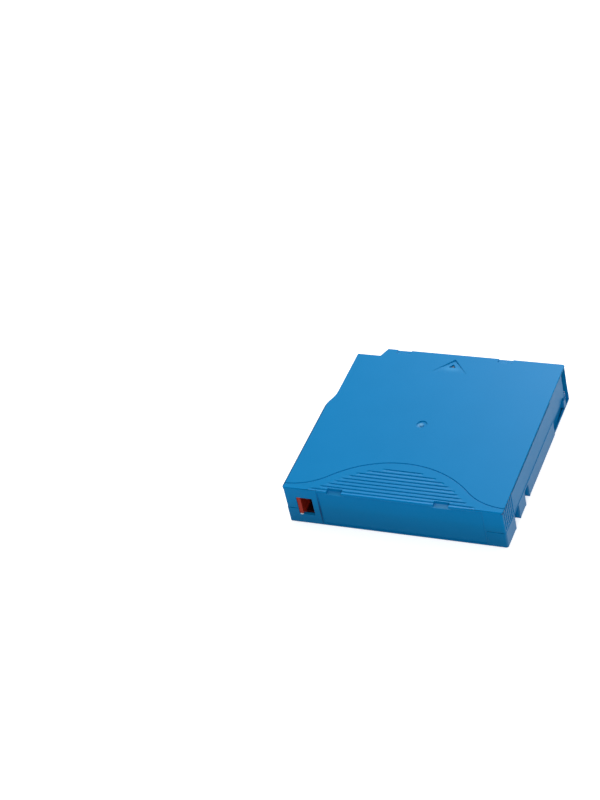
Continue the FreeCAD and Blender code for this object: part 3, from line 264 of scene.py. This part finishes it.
def plastic(name, colour, roughness, grain_mm=0.16, grain_depth_mm=0.010, edge_gain=0.25,
            sheen_level=0.5, sheen_tint=(1, 1, 1), drift=0.035, spots=()):
    """A moulded plastic whose colour drifts a little, with a fine-grained skin and pale worn edges.

    A spot is a centre and the reach along each axis in millimetres, the share of the reach where
    it starts to fade, a colour and a strength. Some spots are where the plastic was strained or
    scuffed, and some are painted light and shade.
    """
    colour_patch_mm = 18
    gloss_patch_mm = 9
    gloss_swing = 0.03
    grain_strength = 0.6
    worn_reach_mm = 0.22
    made, net, shader, place = start_finish(name)
    darker = tuple(c * (1 - drift) for c in colour)
    lighter = tuple(min(c * (1 + drift) + 0.001, 1) for c in colour)
    tone = mixed(net, speckle(net, place, colour_patch_mm), darker, lighter)
    for centre, reach, inner, stain, strength in spots:
        near = spread(net, distance_from(net, place, centre, reach), strength, 0.0, inner, 1.0)
        tone = mixed(net, near, tone, stain)
    normal, edge = soft_edges(net, worn_reach_mm)
    worn = tuple(min(c * 1.30 + 0.02, 1) for c in colour)
    feed(net, mixed(net, reckon(net, "MULTIPLY", edge, edge_gain), tone, worn),
         shader.inputs["Base Color"])
    grain = speckle(net, place, grain_mm, 2.0)
    raise_skin(net, shader, grain, grain_depth_mm, grain_strength, normal)
    gloss = speckle(net, place, gloss_patch_mm, 4.0)
    feed(net, spread(net, gloss, roughness - gloss_swing, roughness + gloss_swing),
         shader.inputs["Roughness"])
    shader.inputs["Specular IOR Level"].default_value = sheen_level
    shader.inputs["Specular Tint"].default_value = (*sheen_tint, 1)
    return made


def coat(node, made):
    """Give a CAD node its finish."""
    for holder in nodes[node].material_slots:
        holder.material = made


# Colours for the marks below. Most are painted light and shade: highlights, a glint and shade. The
# strained blue at the gate and the scuffed blue are the plastic's own.
painted_highlight_blue = (0.030, 0.290, 0.600)
strained_blue = (0.240, 0.500, 0.720)
painted_shade_navy = (0.004, 0.045, 0.140)
scuffed_blue = (0.045, 0.235, 0.500)
painted_shade_blue = (0.003, 0.095, 0.240)
painted_light_blue = (0.001, 0.250, 0.640)
painted_sheen_blue = (0.085, 0.350, 0.650)
painted_glint_white = (0.880, 0.920, 0.950)
end_to_end = 500.0
marks = {
    "gate": ((-2.3, -0.3, 21.2), (2.0, 1.7, 1.5), 0.35, strained_blue, 0.55),
    # Painted highlights: the arrow's ramp and the floors of the two nests are painted lighter.
    "arrow_ramp": ((-0.4, 40.6, 21.3), (5.5, 2.4, 0.8), 0.20, painted_highlight_blue, 0.60),
    "left_nest": ((-27.3, -49.2, 19.6), (6.0, 3.4, 0.3), 0.80, painted_highlight_blue, 0.80),
    "right_nest": ((23.9, -49.2, 19.6), (6.0, 3.4, 0.3), 0.80, painted_sheen_blue, 1.00),
    # Painted shade: dark lines in the label panel's joint, along the top's left edge and under the
    # right lip.
    "label_joint": ((-35.9, -50.8, 10.8), (0.5, 0.4, 14.0), 0.80, painted_shade_navy, 0.95),
    "left_top_edge": ((-52.7, 0.0, 21.4), (0.8, end_to_end, 0.6), 0.70, painted_shade_navy, 0.80),
    "under_right_lip": ((52.7, 0.0, 20.55), (1.2, end_to_end, 0.6), 0.85, painted_shade_navy, 1.00),
    "low_right_side": ((52.7, 0.0, 3.4), (0.8, end_to_end, 6.4), 0.70, scuffed_blue, 0.90),
    # Painted light and shade: the rear face is darker towards the bottom and lighter towards the
    # top.
    "low_rear_face": ((0.0, -51.0, 1.0), (end_to_end, 1.2, 13.0), 0.00, painted_shade_blue, 0.50),
    "high_rear_face": ((0.0, -51.0, 20.0), (end_to_end, 1.2, 10.0), 0.00, painted_light_blue, 0.60),
    # A painted white glint on the window sill.
    "window_sill": ((-45.8, -50.7, 5.6), (1.0, 0.8, 0.4), 0.50, painted_glint_white, 1.00),
}
case_blue = plastic("case_blue", blue, 0.38, edge_gain=0.20, sheen_level=0.11,
                    sheen_tint=(0.10, 0.45, 1.0), spots=marks.values())
lip_low = 20.2
lip_lift = 0.80
lip_side = 51.9
lip_fade = 0.5
groove_low = 19.65
groove_high = 20.0
groove_lift = 0.32
seam_level = 8.8
seam_open = 0.36
label_left = -46.0
label_right = 43.0
rear_skin = -50.9
roof_top = 21.5
grip_floor = 21.0
grip_front = -28.0
grip_ease = 0.14
grip_run_out = 2.6
nest_rear = -49.1
nest_side = 32.0
arrow_x = -0.4
arrow_tip = 47.3
arrow_base = 39.2
arrow_half_wide = 7.5
arrow_deep = 0.6
arrow_stretch = 0.25
triangle_y = 43.0
triangle_half_long = 1.4
triangle_half_wide = 2.0
triangle_deep = 0.5


def reshape_lid(points):
    """Thin the roof's right lip, open the seam to the tray, ease the grip and lengthen the arrow.

    The lip's lower edge and the shadow groove under it rise. The rise fades in with
    (x - lip_side) / lip_fade, so the round corners run into it. The grip grooves get a shallower
    floor that slopes up at both ends. The arrow's ramp is drawn out from its tip, and its depth at
    a distance d from the new base line is arrow_deep * d / new_long.
    """
    hair = 0.02
    x, y, z = points.T.copy()
    lip = (z > groove_low) & (z < lip_low + hair)
    lift = np.where(z < groove_high, groove_lift, lip_lift)
    points[:, 2] += np.where(lip, lift * np.clip((x - lip_side) / lip_fade, 0, 1), 0)
    grip = (abs(z - grip_floor) < hair) & (y < grip_front)
    points[:, 2] += np.where(grip, grip_ease, 0)
    in_nest = (y < nest_rear) & (abs(x) < nest_side)
    points[:, 0] -= np.where(grip & ~in_nest, np.sign(x) * grip_run_out, 0)
    beside_arrow = abs(x - arrow_x)
    base = (abs(y - arrow_base) < hair) & (beside_arrow < arrow_half_wide) & (z > roof_top - hair)
    points[base, 0] += (x[base] - arrow_x) * arrow_stretch
    points[base, 1] += (y[base] - arrow_tip) * arrow_stretch
    new_long = (arrow_tip - arrow_base) * (1 + arrow_stretch)
    triangle = ((beside_arrow < triangle_half_wide) & (abs(y - triangle_y) < triangle_half_long)
                & (z > roof_top - triangle_deep))
    from_base = y[triangle] - arrow_tip + new_long
    points[triangle, 2] = roof_top - arrow_deep * from_base / new_long
    beside_label = (y < rear_skin) & ((x < label_left) | (x > label_right))
    points[:, 2] += np.where(beside_label & (abs(z - seam_level) < hair), seam_open, 0)


def settle(piece, surface, edge_mm):
    """Apply the rounding, and bring back each point that it took too far off the surface."""
    most_off = 0.5 * edge_mm
    box = np.array(piece.bound_box)
    live = piece.evaluated_get(bpy.context.evaluated_depsgraph_get())
    rounded = bpy.data.meshes.new_from_object(live)
    for corner in rounded.vertices:
        nearest, *_, gap = surface.find_nearest(corner.co)
        if gap > most_off * MILLIMETRE:
            corner.co = nearest
        corner.co = np.clip(corner.co, box.min(axis=0), box.max(axis=0))
    piece.modifiers.clear()
    piece.data = rounded


def soften(name, node, body, finish, edge_mm, reshape=None):
    """A copy of a moulding whose facets are joined and whose sharp edges are finely rounded.

    The facets of the narrow ledge under the roof's edge stay, because joined they would make one
    long thin face that doubles back on itself.
    """
    merge_mm = 0.002
    level_mm = 0.01
    joined_below = math.radians(0.5)
    shaded_sharp_above = math.radians(30)
    rounded_above = math.radians(38)
    work = bmesh.new()
    work.from_mesh(nodes[node].data)
    bmesh.ops.remove_doubles(work, verts=work.verts, dist=merge_mm * MILLIMETRE)
    mesh = bpy.data.meshes.new(name)
    off_ledge = [edge for edge in work.edges
                 if any(abs(end.co.z / MILLIMETRE - lip_low) > level_mm for end in edge.verts)]
    if reshape is not None:
        points = np.array([corner.co for corner in work.verts]) / MILLIMETRE
        reshape(points)
        for corner, point in zip(work.verts, points * MILLIMETRE):
            corner.co = point
    bmesh.ops.dissolve_limit(work, angle_limit=joined_below, verts=work.verts, edges=off_ledge)
    work.to_mesh(mesh)
    surface = BVHTree.FromBMesh(work)
    work.free()
    mesh.materials.clear()
    mesh.materials.append(finish)
    mesh.shade_smooth()
    mesh.set_sharp_from_angle(angle=shaded_sharp_above)
    piece = bpy.data.objects.new(name, mesh)
    bpy.context.scene.collection.objects.link(piece)
    rounding = piece.modifiers.new("rounding", "BEVEL")
    rounding.width = edge_mm * MILLIMETRE
    rounding.segments = 2
    rounding.limit_method = "ANGLE"
    rounding.angle_limit = rounded_above
    rounding.use_clamp_overlap = False
    settle(piece, surface, edge_mm)
    flat_faces = piece.modifiers.new("flat_faces", "WEIGHTED_NORMAL")
    flat_faces.mode = "FACE_AREA"
    flat_faces.weight = 100
    flat_faces.keep_sharp = True
    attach(piece, body)
    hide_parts(node)


soften("lid", "upper_shell", "case", case_blue, 0.10, reshape_lid)

# The small triangle in the insertion arrow is filled with a dark stamped print.
# The film of ink lies on the floor of the triangle's recess and thins towards its edges.
ink_centre_x = -0.4
ink_base_y = 41.78
ink_tip_y = 44.05
ink_half_wide = 1.50
ink_floor = 20.552
ink_thick = 0.05


def film_triangle(rows, columns):
    """The top and under points of a thin triangular film, u from base to tip, v from edge to edge.

    The half width falls in step with u to a blunt tip, and the film's thickness is
    (0.5 + 2 (1 - v^2) u (1 - u)) * ink_thick.
    """
    taper = 0.97
    u, v = np.meshgrid(np.linspace(0, 1, rows), np.linspace(-1, 1, columns), indexing="ij")
    half = ink_half_wide * (1 - taper * u)
    x = ink_centre_x + v * half
    y = ink_base_y + u * (ink_tip_y - ink_base_y)
    crown = ink_thick * (0.5 + 0.5 * (1 - v ** 2) * 4 * u * (1 - u))
    under = np.stack([x, y, np.full_like(x, ink_floor)], -1)
    return np.stack([x, y, ink_floor + crown], -1), under


def make_piece(name, points_mm, faces, body, finish, smooth_deg=None):
    """Put points and faces into a new piece that rides on a body."""
    mesh = bpy.data.meshes.new(name)
    mesh.from_pydata((np.asarray(points_mm) * MILLIMETRE).tolist(), [], faces)
    mesh.materials.append(finish)
    if smooth_deg is not None:
        mesh.shade_smooth()
        mesh.set_sharp_from_angle(angle=math.radians(smooth_deg))
    piece = bpy.data.objects.new(name, mesh)
    bpy.context.scene.collection.objects.link(piece)
    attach(piece, body)
    return piece


ink_top, ink_under = film_triangle(7, 9)
rows, columns = ink_top.shape[:2]
number = np.arange(rows * columns).reshape(rows, columns)
cells = np.stack([number[:-1, :-1], number[:-1, 1:], number[1:, 1:], number[1:, :-1]], -1)
cells = cells.reshape(-1, 4)
rim = np.concatenate([number[0, :-1], number[:-1, -1], number[-1, :0:-1], number[:0:-1, 0]])
next_on_rim = np.roll(rim, -1)
below = rows * columns
sides = np.stack([rim, rim + below, next_on_rim + below, next_on_rim], -1)
ink_faces = cells.tolist() + (cells[:, ::-1] + below).tolist() + sides.tolist()
ink_points = np.concatenate([ink_top.reshape(-1, 3), ink_under.reshape(-1, 3)])
arrow_print = plastic("arrow_print", (0.025, 0.085, 0.170), 0.5, edge_gain=0.0,
                      sheen_level=0.3, drift=0.15)
make_piece("arrow_ink", ink_points, ink_faces, "case", arrow_print)

# The tray is the second large moulding, in the same satin blue: floor, lower walls, bosses.
# Four screws draw it up against the lid. Sliding in and out of drives has scuffed its underside.
soften("tray", "lower_shell", "case", case_blue, 0.12)

# The tape door is a thin moulded slide of the same blue, with a finger tab at its front end.
# It runs in a slot along the right side.
soften("tape_door", "sliding_door", "door", case_blue, 0.08)

# A long, thin coil spring of drawn steel wire pushes the tape door shut from behind.
# Its last turn at each end is wound close, so it sits square on its seats.
wire_steel_colour = (0.60, 0.60, 0.62)


def metal(name, colour, roughness, streak_mm, stretch=(1, 1, 1), depth_mm=0.004, patina=0.12):
    """A bare metal: fine streaks from drawing, turning or grinding, and a faint patchy patina."""
    patina_patch_mm = 4
    patina_least, patina_most = -0.03, 0.05
    streak_swing = 0.06
    streak_strength = 0.5
    made, net, shader, place = start_finish(name)
    along = net.nodes.new("ShaderNodeMapping")
    along.inputs["Scale"].default_value = stretch
    net.links.new(place, along.inputs["Vector"])
    streaks = speckle(net, along.outputs["Vector"], streak_mm, 2.0)
    patches = speckle(net, place, patina_patch_mm, 3.0)
    dull = tuple(c * (1 - patina) for c in colour)
    feed(net, mixed(net, patches, dull, colour), shader.inputs["Base Color"])
    streaked = spread(net, streaks, roughness - streak_swing, roughness + streak_swing)
    rough = reckon(net, "ADD", streaked, spread(net, patches, patina_least, patina_most))
    feed(net, rough, shader.inputs["Roughness"])
    raise_skin(net, shader, streaks, depth_mm, streak_strength)
    shader.inputs["Metallic"].default_value = 1.0
    return made


def close_rings(rings):
    """Join each ring of points to the next, and fan each end to a middle point of its own."""
    count, around = rings.shape[:2]
    points = np.concatenate([rings.reshape(-1, 3), rings[[0, -1]].mean(axis=1)])
    index = np.arange(count * around).reshape(count, around)
    ahead = np.roll(index, -1, axis=1)
    walls = np.stack([index[:-1], ahead[:-1], ahead[1:], index[1:]], -1).reshape(-1, 4)
    first = np.stack([ahead[0], index[0], np.full(around, count * around)], -1)
    last = np.stack([index[-1], ahead[-1], np.full(around, count * around + 1)], -1)
    return points, walls.tolist() + first.tolist() + last.tolist()


def coil_rings(turns, coil_radius, wire_radius, low, high, per_turn=28, around=8):
    """Rings round a coiled wire that stands on the z axis, from height low to height high.

    The wire's middle is at (R cos a, R sin a, h(a)). The lead h'(a) is one wire thickness over the
    first and last turn and even between. Each ring lies across the wire: outward, and at right
    angles to both that and the run of the wire.
    """
    close_turns, ease_turns = 0.8, 0.4
    turn = np.linspace(0, turns, round(turns * per_turn) + 1)
    near_end = np.minimum(turn, turns - turn)
    close = 2.06 * wire_radius
    middle_lead = (high - low - 2 * wire_radius - 2 * close) / (turns - 2)
    blend = np.clip((near_end - close_turns) / ease_turns, 0, 1)
    lead = close + (middle_lead - close) * blend
    height = np.concatenate([[0], np.cumsum((lead[1:] + lead[:-1]) / 2 * np.diff(turn))])
    height = low + wire_radius + height * (high - low - 2 * wire_radius) / height[-1]
    angle = 2 * math.pi * turn
    outward = np.stack([np.cos(angle), np.sin(angle), np.zeros_like(angle)], -1)
    middle = outward * coil_radius + np.stack([np.zeros_like(height)] * 2 + [height], -1)
    run = np.gradient(middle, axis=0)
    run /= np.linalg.norm(run, axis=1, keepdims=True)
    across = np.cross(run, outward)
    turn_round = np.linspace(0, 2 * math.pi, around, endpoint=False)[None, :, None]
    spoke = np.cos(turn_round) * outward[:, None] + np.sin(turn_round) * across[:, None]
    return middle[:, None] + wire_radius * spoke


door_spring_x = 49.6
door_spring_z = 6.2
door_spring_seat = -15.15
door_spring_front = 21.95
spring_wire = metal("spring_wire", wire_steel_colour, 0.28, streak_mm=0.25)
upright = coil_rings(turns=16, coil_radius=1.12, wire_radius=0.18,
                     low=door_spring_seat, high=door_spring_front)
lying = np.stack([door_spring_x + upright[..., 1], upright[..., 2],
                  door_spring_z + upright[..., 0]], -1)
points, faces = close_rings(lying)
coil = make_piece("door_spring_coil", points, faces, "case", spring_wire, 60)
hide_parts("door_spring")
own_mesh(coil)

# Four thread-forming screws of blackened steel hold the two mouldings together from below.
# Each has a low domed head with a cross recess, and cuts its own thread in the lid's boss.
screw_places = [(-46.8, -35.0), (46.8, -35.0), (-46.0, 39.5), (34.5, 46.5)]
screw_face = 1.7
screw_seat = 3.0
screw_tip = 14.0
head_radius = 2.0
dome_rise = 0.28
shoulder_rows = [(head_radius * 0.985, 2.02), (head_radius, 2.18), (head_radius, 2.92),
                 (head_radius - 0.06, screw_seat), (1.02, screw_seat)]
thread_radius = 1.10
core_radius = 0.86
thread_pitch = 0.80
thread_fade = 0.8
tip_rows = [(core_radius * 0.98, screw_tip - 0.75), (0.62, screw_tip - 0.2), (0.40, screw_tip)]
cross_deep = 0.75
cross_half_wide = 0.30
cross_half_long = 1.15
cross_wall = 0.08
cross_end = 0.35
turned_on = 0.7


def screw_rings(around=48):
    """Rings of a screw that stands on the z axis with its head down.

    The face is a dome, z = face + rise * (r / R)^3, sunk by the cross: with a the smaller and b the
    larger of |x| and |y|, by deep * clip((wide - a) / wall) * clip((long - b) / end). The thread is
    a ridge on the core, 1 - 3.2 |saw(z / pitch - angle) - 0.5| high, which fades out at both ends.
    """
    angle = np.linspace(0, 2 * math.pi, around, endpoint=False)
    radius = np.concatenate([np.linspace(0.06, 1.30, 15), np.linspace(1.45, 1.88, 4)])[:, None]
    x, y = radius * np.cos(angle), radius * np.sin(angle)
    small, large = np.minimum(abs(x), abs(y)), np.maximum(abs(x), abs(y))
    sunk = np.clip((cross_half_wide - small) / cross_wall, 0, 1)
    sunk *= np.clip((cross_half_long - large) / cross_end, 0, 1)
    dome = screw_face + dome_rise * (radius / head_radius) ** 3
    face = np.stack([x, y, dome + cross_deep * sunk], -1)
    height = np.arange(screw_seat + 0.1, screw_tip - thread_fade, thread_pitch / 8)
    saw = (height[:, None] / thread_pitch - angle / (2 * math.pi)) % 1.0
    fade = np.clip((height - screw_seat) / thread_fade, 0, 1)
    fade *= np.clip((screw_tip - thread_fade - height) / thread_fade, 0, 1)
    ridge = np.clip(1 - abs(saw - 0.5) * 3.2, 0, 1) * fade[:, None]
    thread = core_radius + (thread_radius - core_radius) * ridge

    def turned_rings(radii, heights):
        radii = np.broadcast_to(radii, (len(heights), around))
        heights = np.broadcast_to(heights[:, None], radii.shape)
        return np.stack([radii * np.cos(angle), radii * np.sin(angle), heights], -1)

    shoulder, tip = np.array(shoulder_rows), np.array(tip_rows)
    return np.concatenate([face, turned_rings(shoulder[:, :1], shoulder[:, 1]),
                           turned_rings(thread, height), turned_rings(tip[:, :1], tip[:, 1])])


one_screw = screw_rings()
points, faces = [], []
for order, (x, y) in enumerate(screw_places):
    turned = Matrix.Rotation(turned_on * order, 3, "Z")
    one_points, one_faces = close_rings(one_screw @ np.array(turned).T + (x, y, 0))
    already = sum(map(len, points))
    faces += [[corner + already for corner in face] for face in one_faces]
    points.append(one_points)
black_steel = metal("black_steel", (0.09, 0.09, 0.10), 0.34, streak_mm=0.5, patina=0.3)
screws = make_piece("cross_screws", np.concatenate(points), faces, "case",
                    black_steel, 40)
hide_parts("case_screws")

# The write-protect tab is a small glossy red moulding that slides behind the rear window.
# Its upright ridge is for a fingernail, and its pocket beside the ridge is deep and dark.
pocket_shade = ((-40.2, -46.0, 11.4), (4.9, 30.0, 30.0), 0.75, (0.003, 0.002, 0.005), 0.97)
tab_red = plastic("tab_red", (0.360, 0.020, 0.008), 0.30, grain_mm=0.3, grain_depth_mm=0.004,
                  edge_gain=0.25, sheen_level=0.3, sheen_tint=(1.0, 0.3, 0.25),
                  spots=[pocket_shade])
coat("write_protect_tab", tab_red)

# The reel is moulded in pale grey glass-filled plastic: a hub with the lower flange and a ring of
# clutch teeth, and an upper flange welded on to it.
reel_grey = plastic("reel_grey", (0.560, 0.575, 0.580), 0.40, grain_mm=0.35, grain_depth_mm=0.008,
                    edge_gain=0.15, sheen_level=0.4, drift=0.05)
coat("reel_hub", reel_grey)
coat("reel_upper_flange", reel_grey)

# The tape is thin film with a dark magnetic coat, wound on the hub under tension.
# The edges of its turns show as fine rings, some turns standing a hair proud of the rest.
reel_x = -1.7
film_dark = (0.030, 0.022, 0.018)
film_light = (0.075, 0.055, 0.043)
ring_pitch_mm = 0.9
film_patch_mm = 6


def wound_film(name, rings):
    """Dark coated film. With rings, its look changes with the distance from the reel's axis."""
    made, net, shader, place = start_finish(name)
    if rings:
        radius = distance_from(net, place, (reel_x, 0, 0), (1, 1, 0))
        by_radius = net.nodes.new("ShaderNodeCombineXYZ")
        net.links.new(radius, by_radius.inputs["X"])
        band = net.nodes.new("ShaderNodeTexNoise")
        band.inputs["Scale"].default_value = 1 / ring_pitch_mm
        band.inputs["Detail"].default_value = 6.0
        net.links.new(by_radius.outputs["Vector"], band.inputs["Vector"])
        pattern = band.outputs["Fac"]
        raise_skin(net, shader, pattern, 0.05, 0.6)
    else:
        pattern = speckle(net, place, film_patch_mm)
    feed(net, mixed(net, spread(net, pattern, 0, 1, 0.3, 0.7), film_dark, film_light),
         shader.inputs["Base Color"])
    feed(net, spread(net, pattern, 0.22, 0.38), shader.inputs["Roughness"])
    shader.inputs["Coat Weight"].default_value = 0.3
    shader.inputs["Coat Roughness"].default_value = 0.12
    return made


coat("tape_pack", wound_film("wound_tape", True))
coat("tape_lead", wound_film("tape_film", False))

# A stamped steel washer sits inside the ring of teeth. The drive's magnet pulls the reel down by
# it. Its faces are brushed from the sheet.
plate_steel = metal("plate_steel", (0.58, 0.58, 0.60), 0.33, streak_mm=0.5,
                    stretch=(0.08, 1, 1), depth_mm=0.006)
coat("reel_drive_plate", plate_steel)

# The brake button and the three-legged pad that lifts it are white acetal, which is waxy and
# a little clear. The spring above presses the button's teeth into the hub's.
acetal = plastic("white_acetal", (0.780, 0.775, 0.745), 0.38, grain_mm=0.5, grain_depth_mm=0.004,
                 edge_gain=0.1, sheen_level=0.45, drift=0.02)
coat("brake_button", acetal)
coat("release_pad", acetal)

# The brake spring is a short, wide coil of drawn steel wire between the button and the roof.
# It stands in the roof's ring and gets shorter as the drive lifts the button.
brake_spring_low = 7.25
brake_spring_high = 20.15
upright = coil_rings(turns=7, coil_radius=8.0, wire_radius=0.40, low=brake_spring_low,
                     high=brake_spring_high, per_turn=48, around=10)
points, faces = close_rings(upright + (reel_x, 0, 0))
coil = make_piece("brake_spring_coil", points, faces, "case", spring_wire, 60)
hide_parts("brake_spring")
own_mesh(coil)

# The leader pin is ground and polished steel, with a head at each end for the drive's hook.
# A dark plastic clip snaps round it and holds the end of the tape. A leaf of strip steel keeps
# the pin in its seats.
pin_x = 45.6
pin_y = 38.5
pin_rows = [(0.60, 1.30), (1.70, 1.30), (1.87, 1.37), (1.90, 1.52), (1.90, 2.34),
            (1.84, 2.46), (1.70, 2.52), (1.38, 2.98), (1.27, 3.08), (1.25, 3.20)]
pin_middle = 10.7
lower_half = np.array(pin_rows)
upper_half = lower_half[::-1] * (1, -1) + (0, 2 * pin_middle)
profile = np.concatenate([lower_half, upper_half])
angle = np.linspace(0, 2 * math.pi, 40, endpoint=False)
rings = np.stack([pin_x + profile[:, :1] * np.cos(angle), pin_y + profile[:, :1] * np.sin(angle),
                  np.broadcast_to(profile[:, 1:], (len(profile), len(angle)))], -1)
points, faces = close_rings(rings)
pin_steel = metal("pin_steel", (0.72, 0.72, 0.73), 0.16, streak_mm=0.3,
                  stretch=(1, 1, 6), depth_mm=0.002, patina=0.05)
pin = make_piece("polished_pin", points, faces, "case", pin_steel, 30)
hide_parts("leader_pin")
clip_dark = plastic("clip_dark", (0.030, 0.031, 0.034), 0.42, edge_gain=0.3, sheen_level=0.4)
coat("tape_clip", clip_dark)
strip_steel = metal("strip_steel", (0.62, 0.61, 0.58), 0.26, streak_mm=0.4,
                    stretch=(0.1, 1, 1))
coat("leader_pin_spring", strip_steel)

# The memory board lies on a slope at the rear: glass-filled board under green lacquer, an etched
# copper loop for its antenna, and the chip under a drop of black resin.
board_centre = (38.0, -44.27, 5.70)
board_half = (6.7, 5.75)
board_slope_deg = 135
loop_lines_per_mm = 4.5
weave_radians_per_mm = 14.0
lacquer_green = (0.018, 0.120, 0.050)
fibre_green = (0.030, 0.165, 0.070)
bright_copper = (0.720, 0.360, 0.190)


def board_plane(net, place):
    """A point's place on the sloped board, in millimetres from its middle."""
    moved = net.nodes.new("ShaderNodeMapping")
    moved.vector_type = "TEXTURE"
    moved.inputs["Location"].default_value = [c * MILLIMETRE for c in board_centre]
    moved.inputs["Rotation"].default_value = (math.radians(board_slope_deg), 0, 0)
    moved.inputs["Scale"].default_value = [MILLIMETRE] * 3
    net.links.new(place, moved.inputs["Vector"])
    parts = net.nodes.new("ShaderNodeSeparateXYZ")
    net.links.new(moved.outputs["Vector"], parts.inputs["Vector"])
    return parts.outputs["X"], parts.outputs["Y"]


def board_lacquer():
    """Green lacquer over glass cloth, sin(across) * sin(along), which shows through it."""
    made, net, shader, place = start_finish("board_lacquer")
    waves = [reckon(net, "SINE", reckon(net, "MULTIPLY", distance, weave_radians_per_mm))
             for distance in board_plane(net, place)]
    weave = reckon(net, "MULTIPLY", *waves)
    feed(net, mixed(net, spread(net, weave, 0, 1, -1, 1), lacquer_green, fibre_green),
         shader.inputs["Base Color"])
    feed(net, spread(net, speckle(net, place, 2), 0.22, 0.34), shader.inputs["Roughness"])
    raise_skin(net, shader, weave, 0.01, 0.4)
    shader.inputs["Coat Weight"].default_value = 0.5
    return made


def etched_copper():
    """Copper lines with lacquered gaps, at even steps in from the board's nearest side."""
    made, net, shader, place = start_finish("etched_copper")
    from_side, from_end = [reckon(net, "SUBTRACT", half, reckon(net, "ABSOLUTE", distance))
                           for half, distance in zip(board_half, board_plane(net, place))]
    inward = reckon(net, "MINIMUM", from_side, from_end)
    line = reckon(net, "FRACT", reckon(net, "MULTIPLY", inward, loop_lines_per_mm))
    track = spread(net, line, 0, 1, 0.30, 0.36)
    feed(net, mixed(net, track, lacquer_green, bright_copper), shader.inputs["Base Color"])
    feed(net, track, shader.inputs["Metallic"])
    feed(net, spread(net, speckle(net, place, 1.5), 0.24, 0.42), shader.inputs["Roughness"])
    raise_skin(net, shader, track, 0.03, 0.5)
    return made


coat("memory_board", board_lacquer())
coat("memory_antenna_coil", etched_copper())
chip_resin = plastic("chip_resin", (0.012, 0.012, 0.013), 0.22, grain_mm=1.2, grain_depth_mm=0.02,
                     edge_gain=0.1, sheen_level=0.5)
coat("memory_chip_seal", chip_resin)
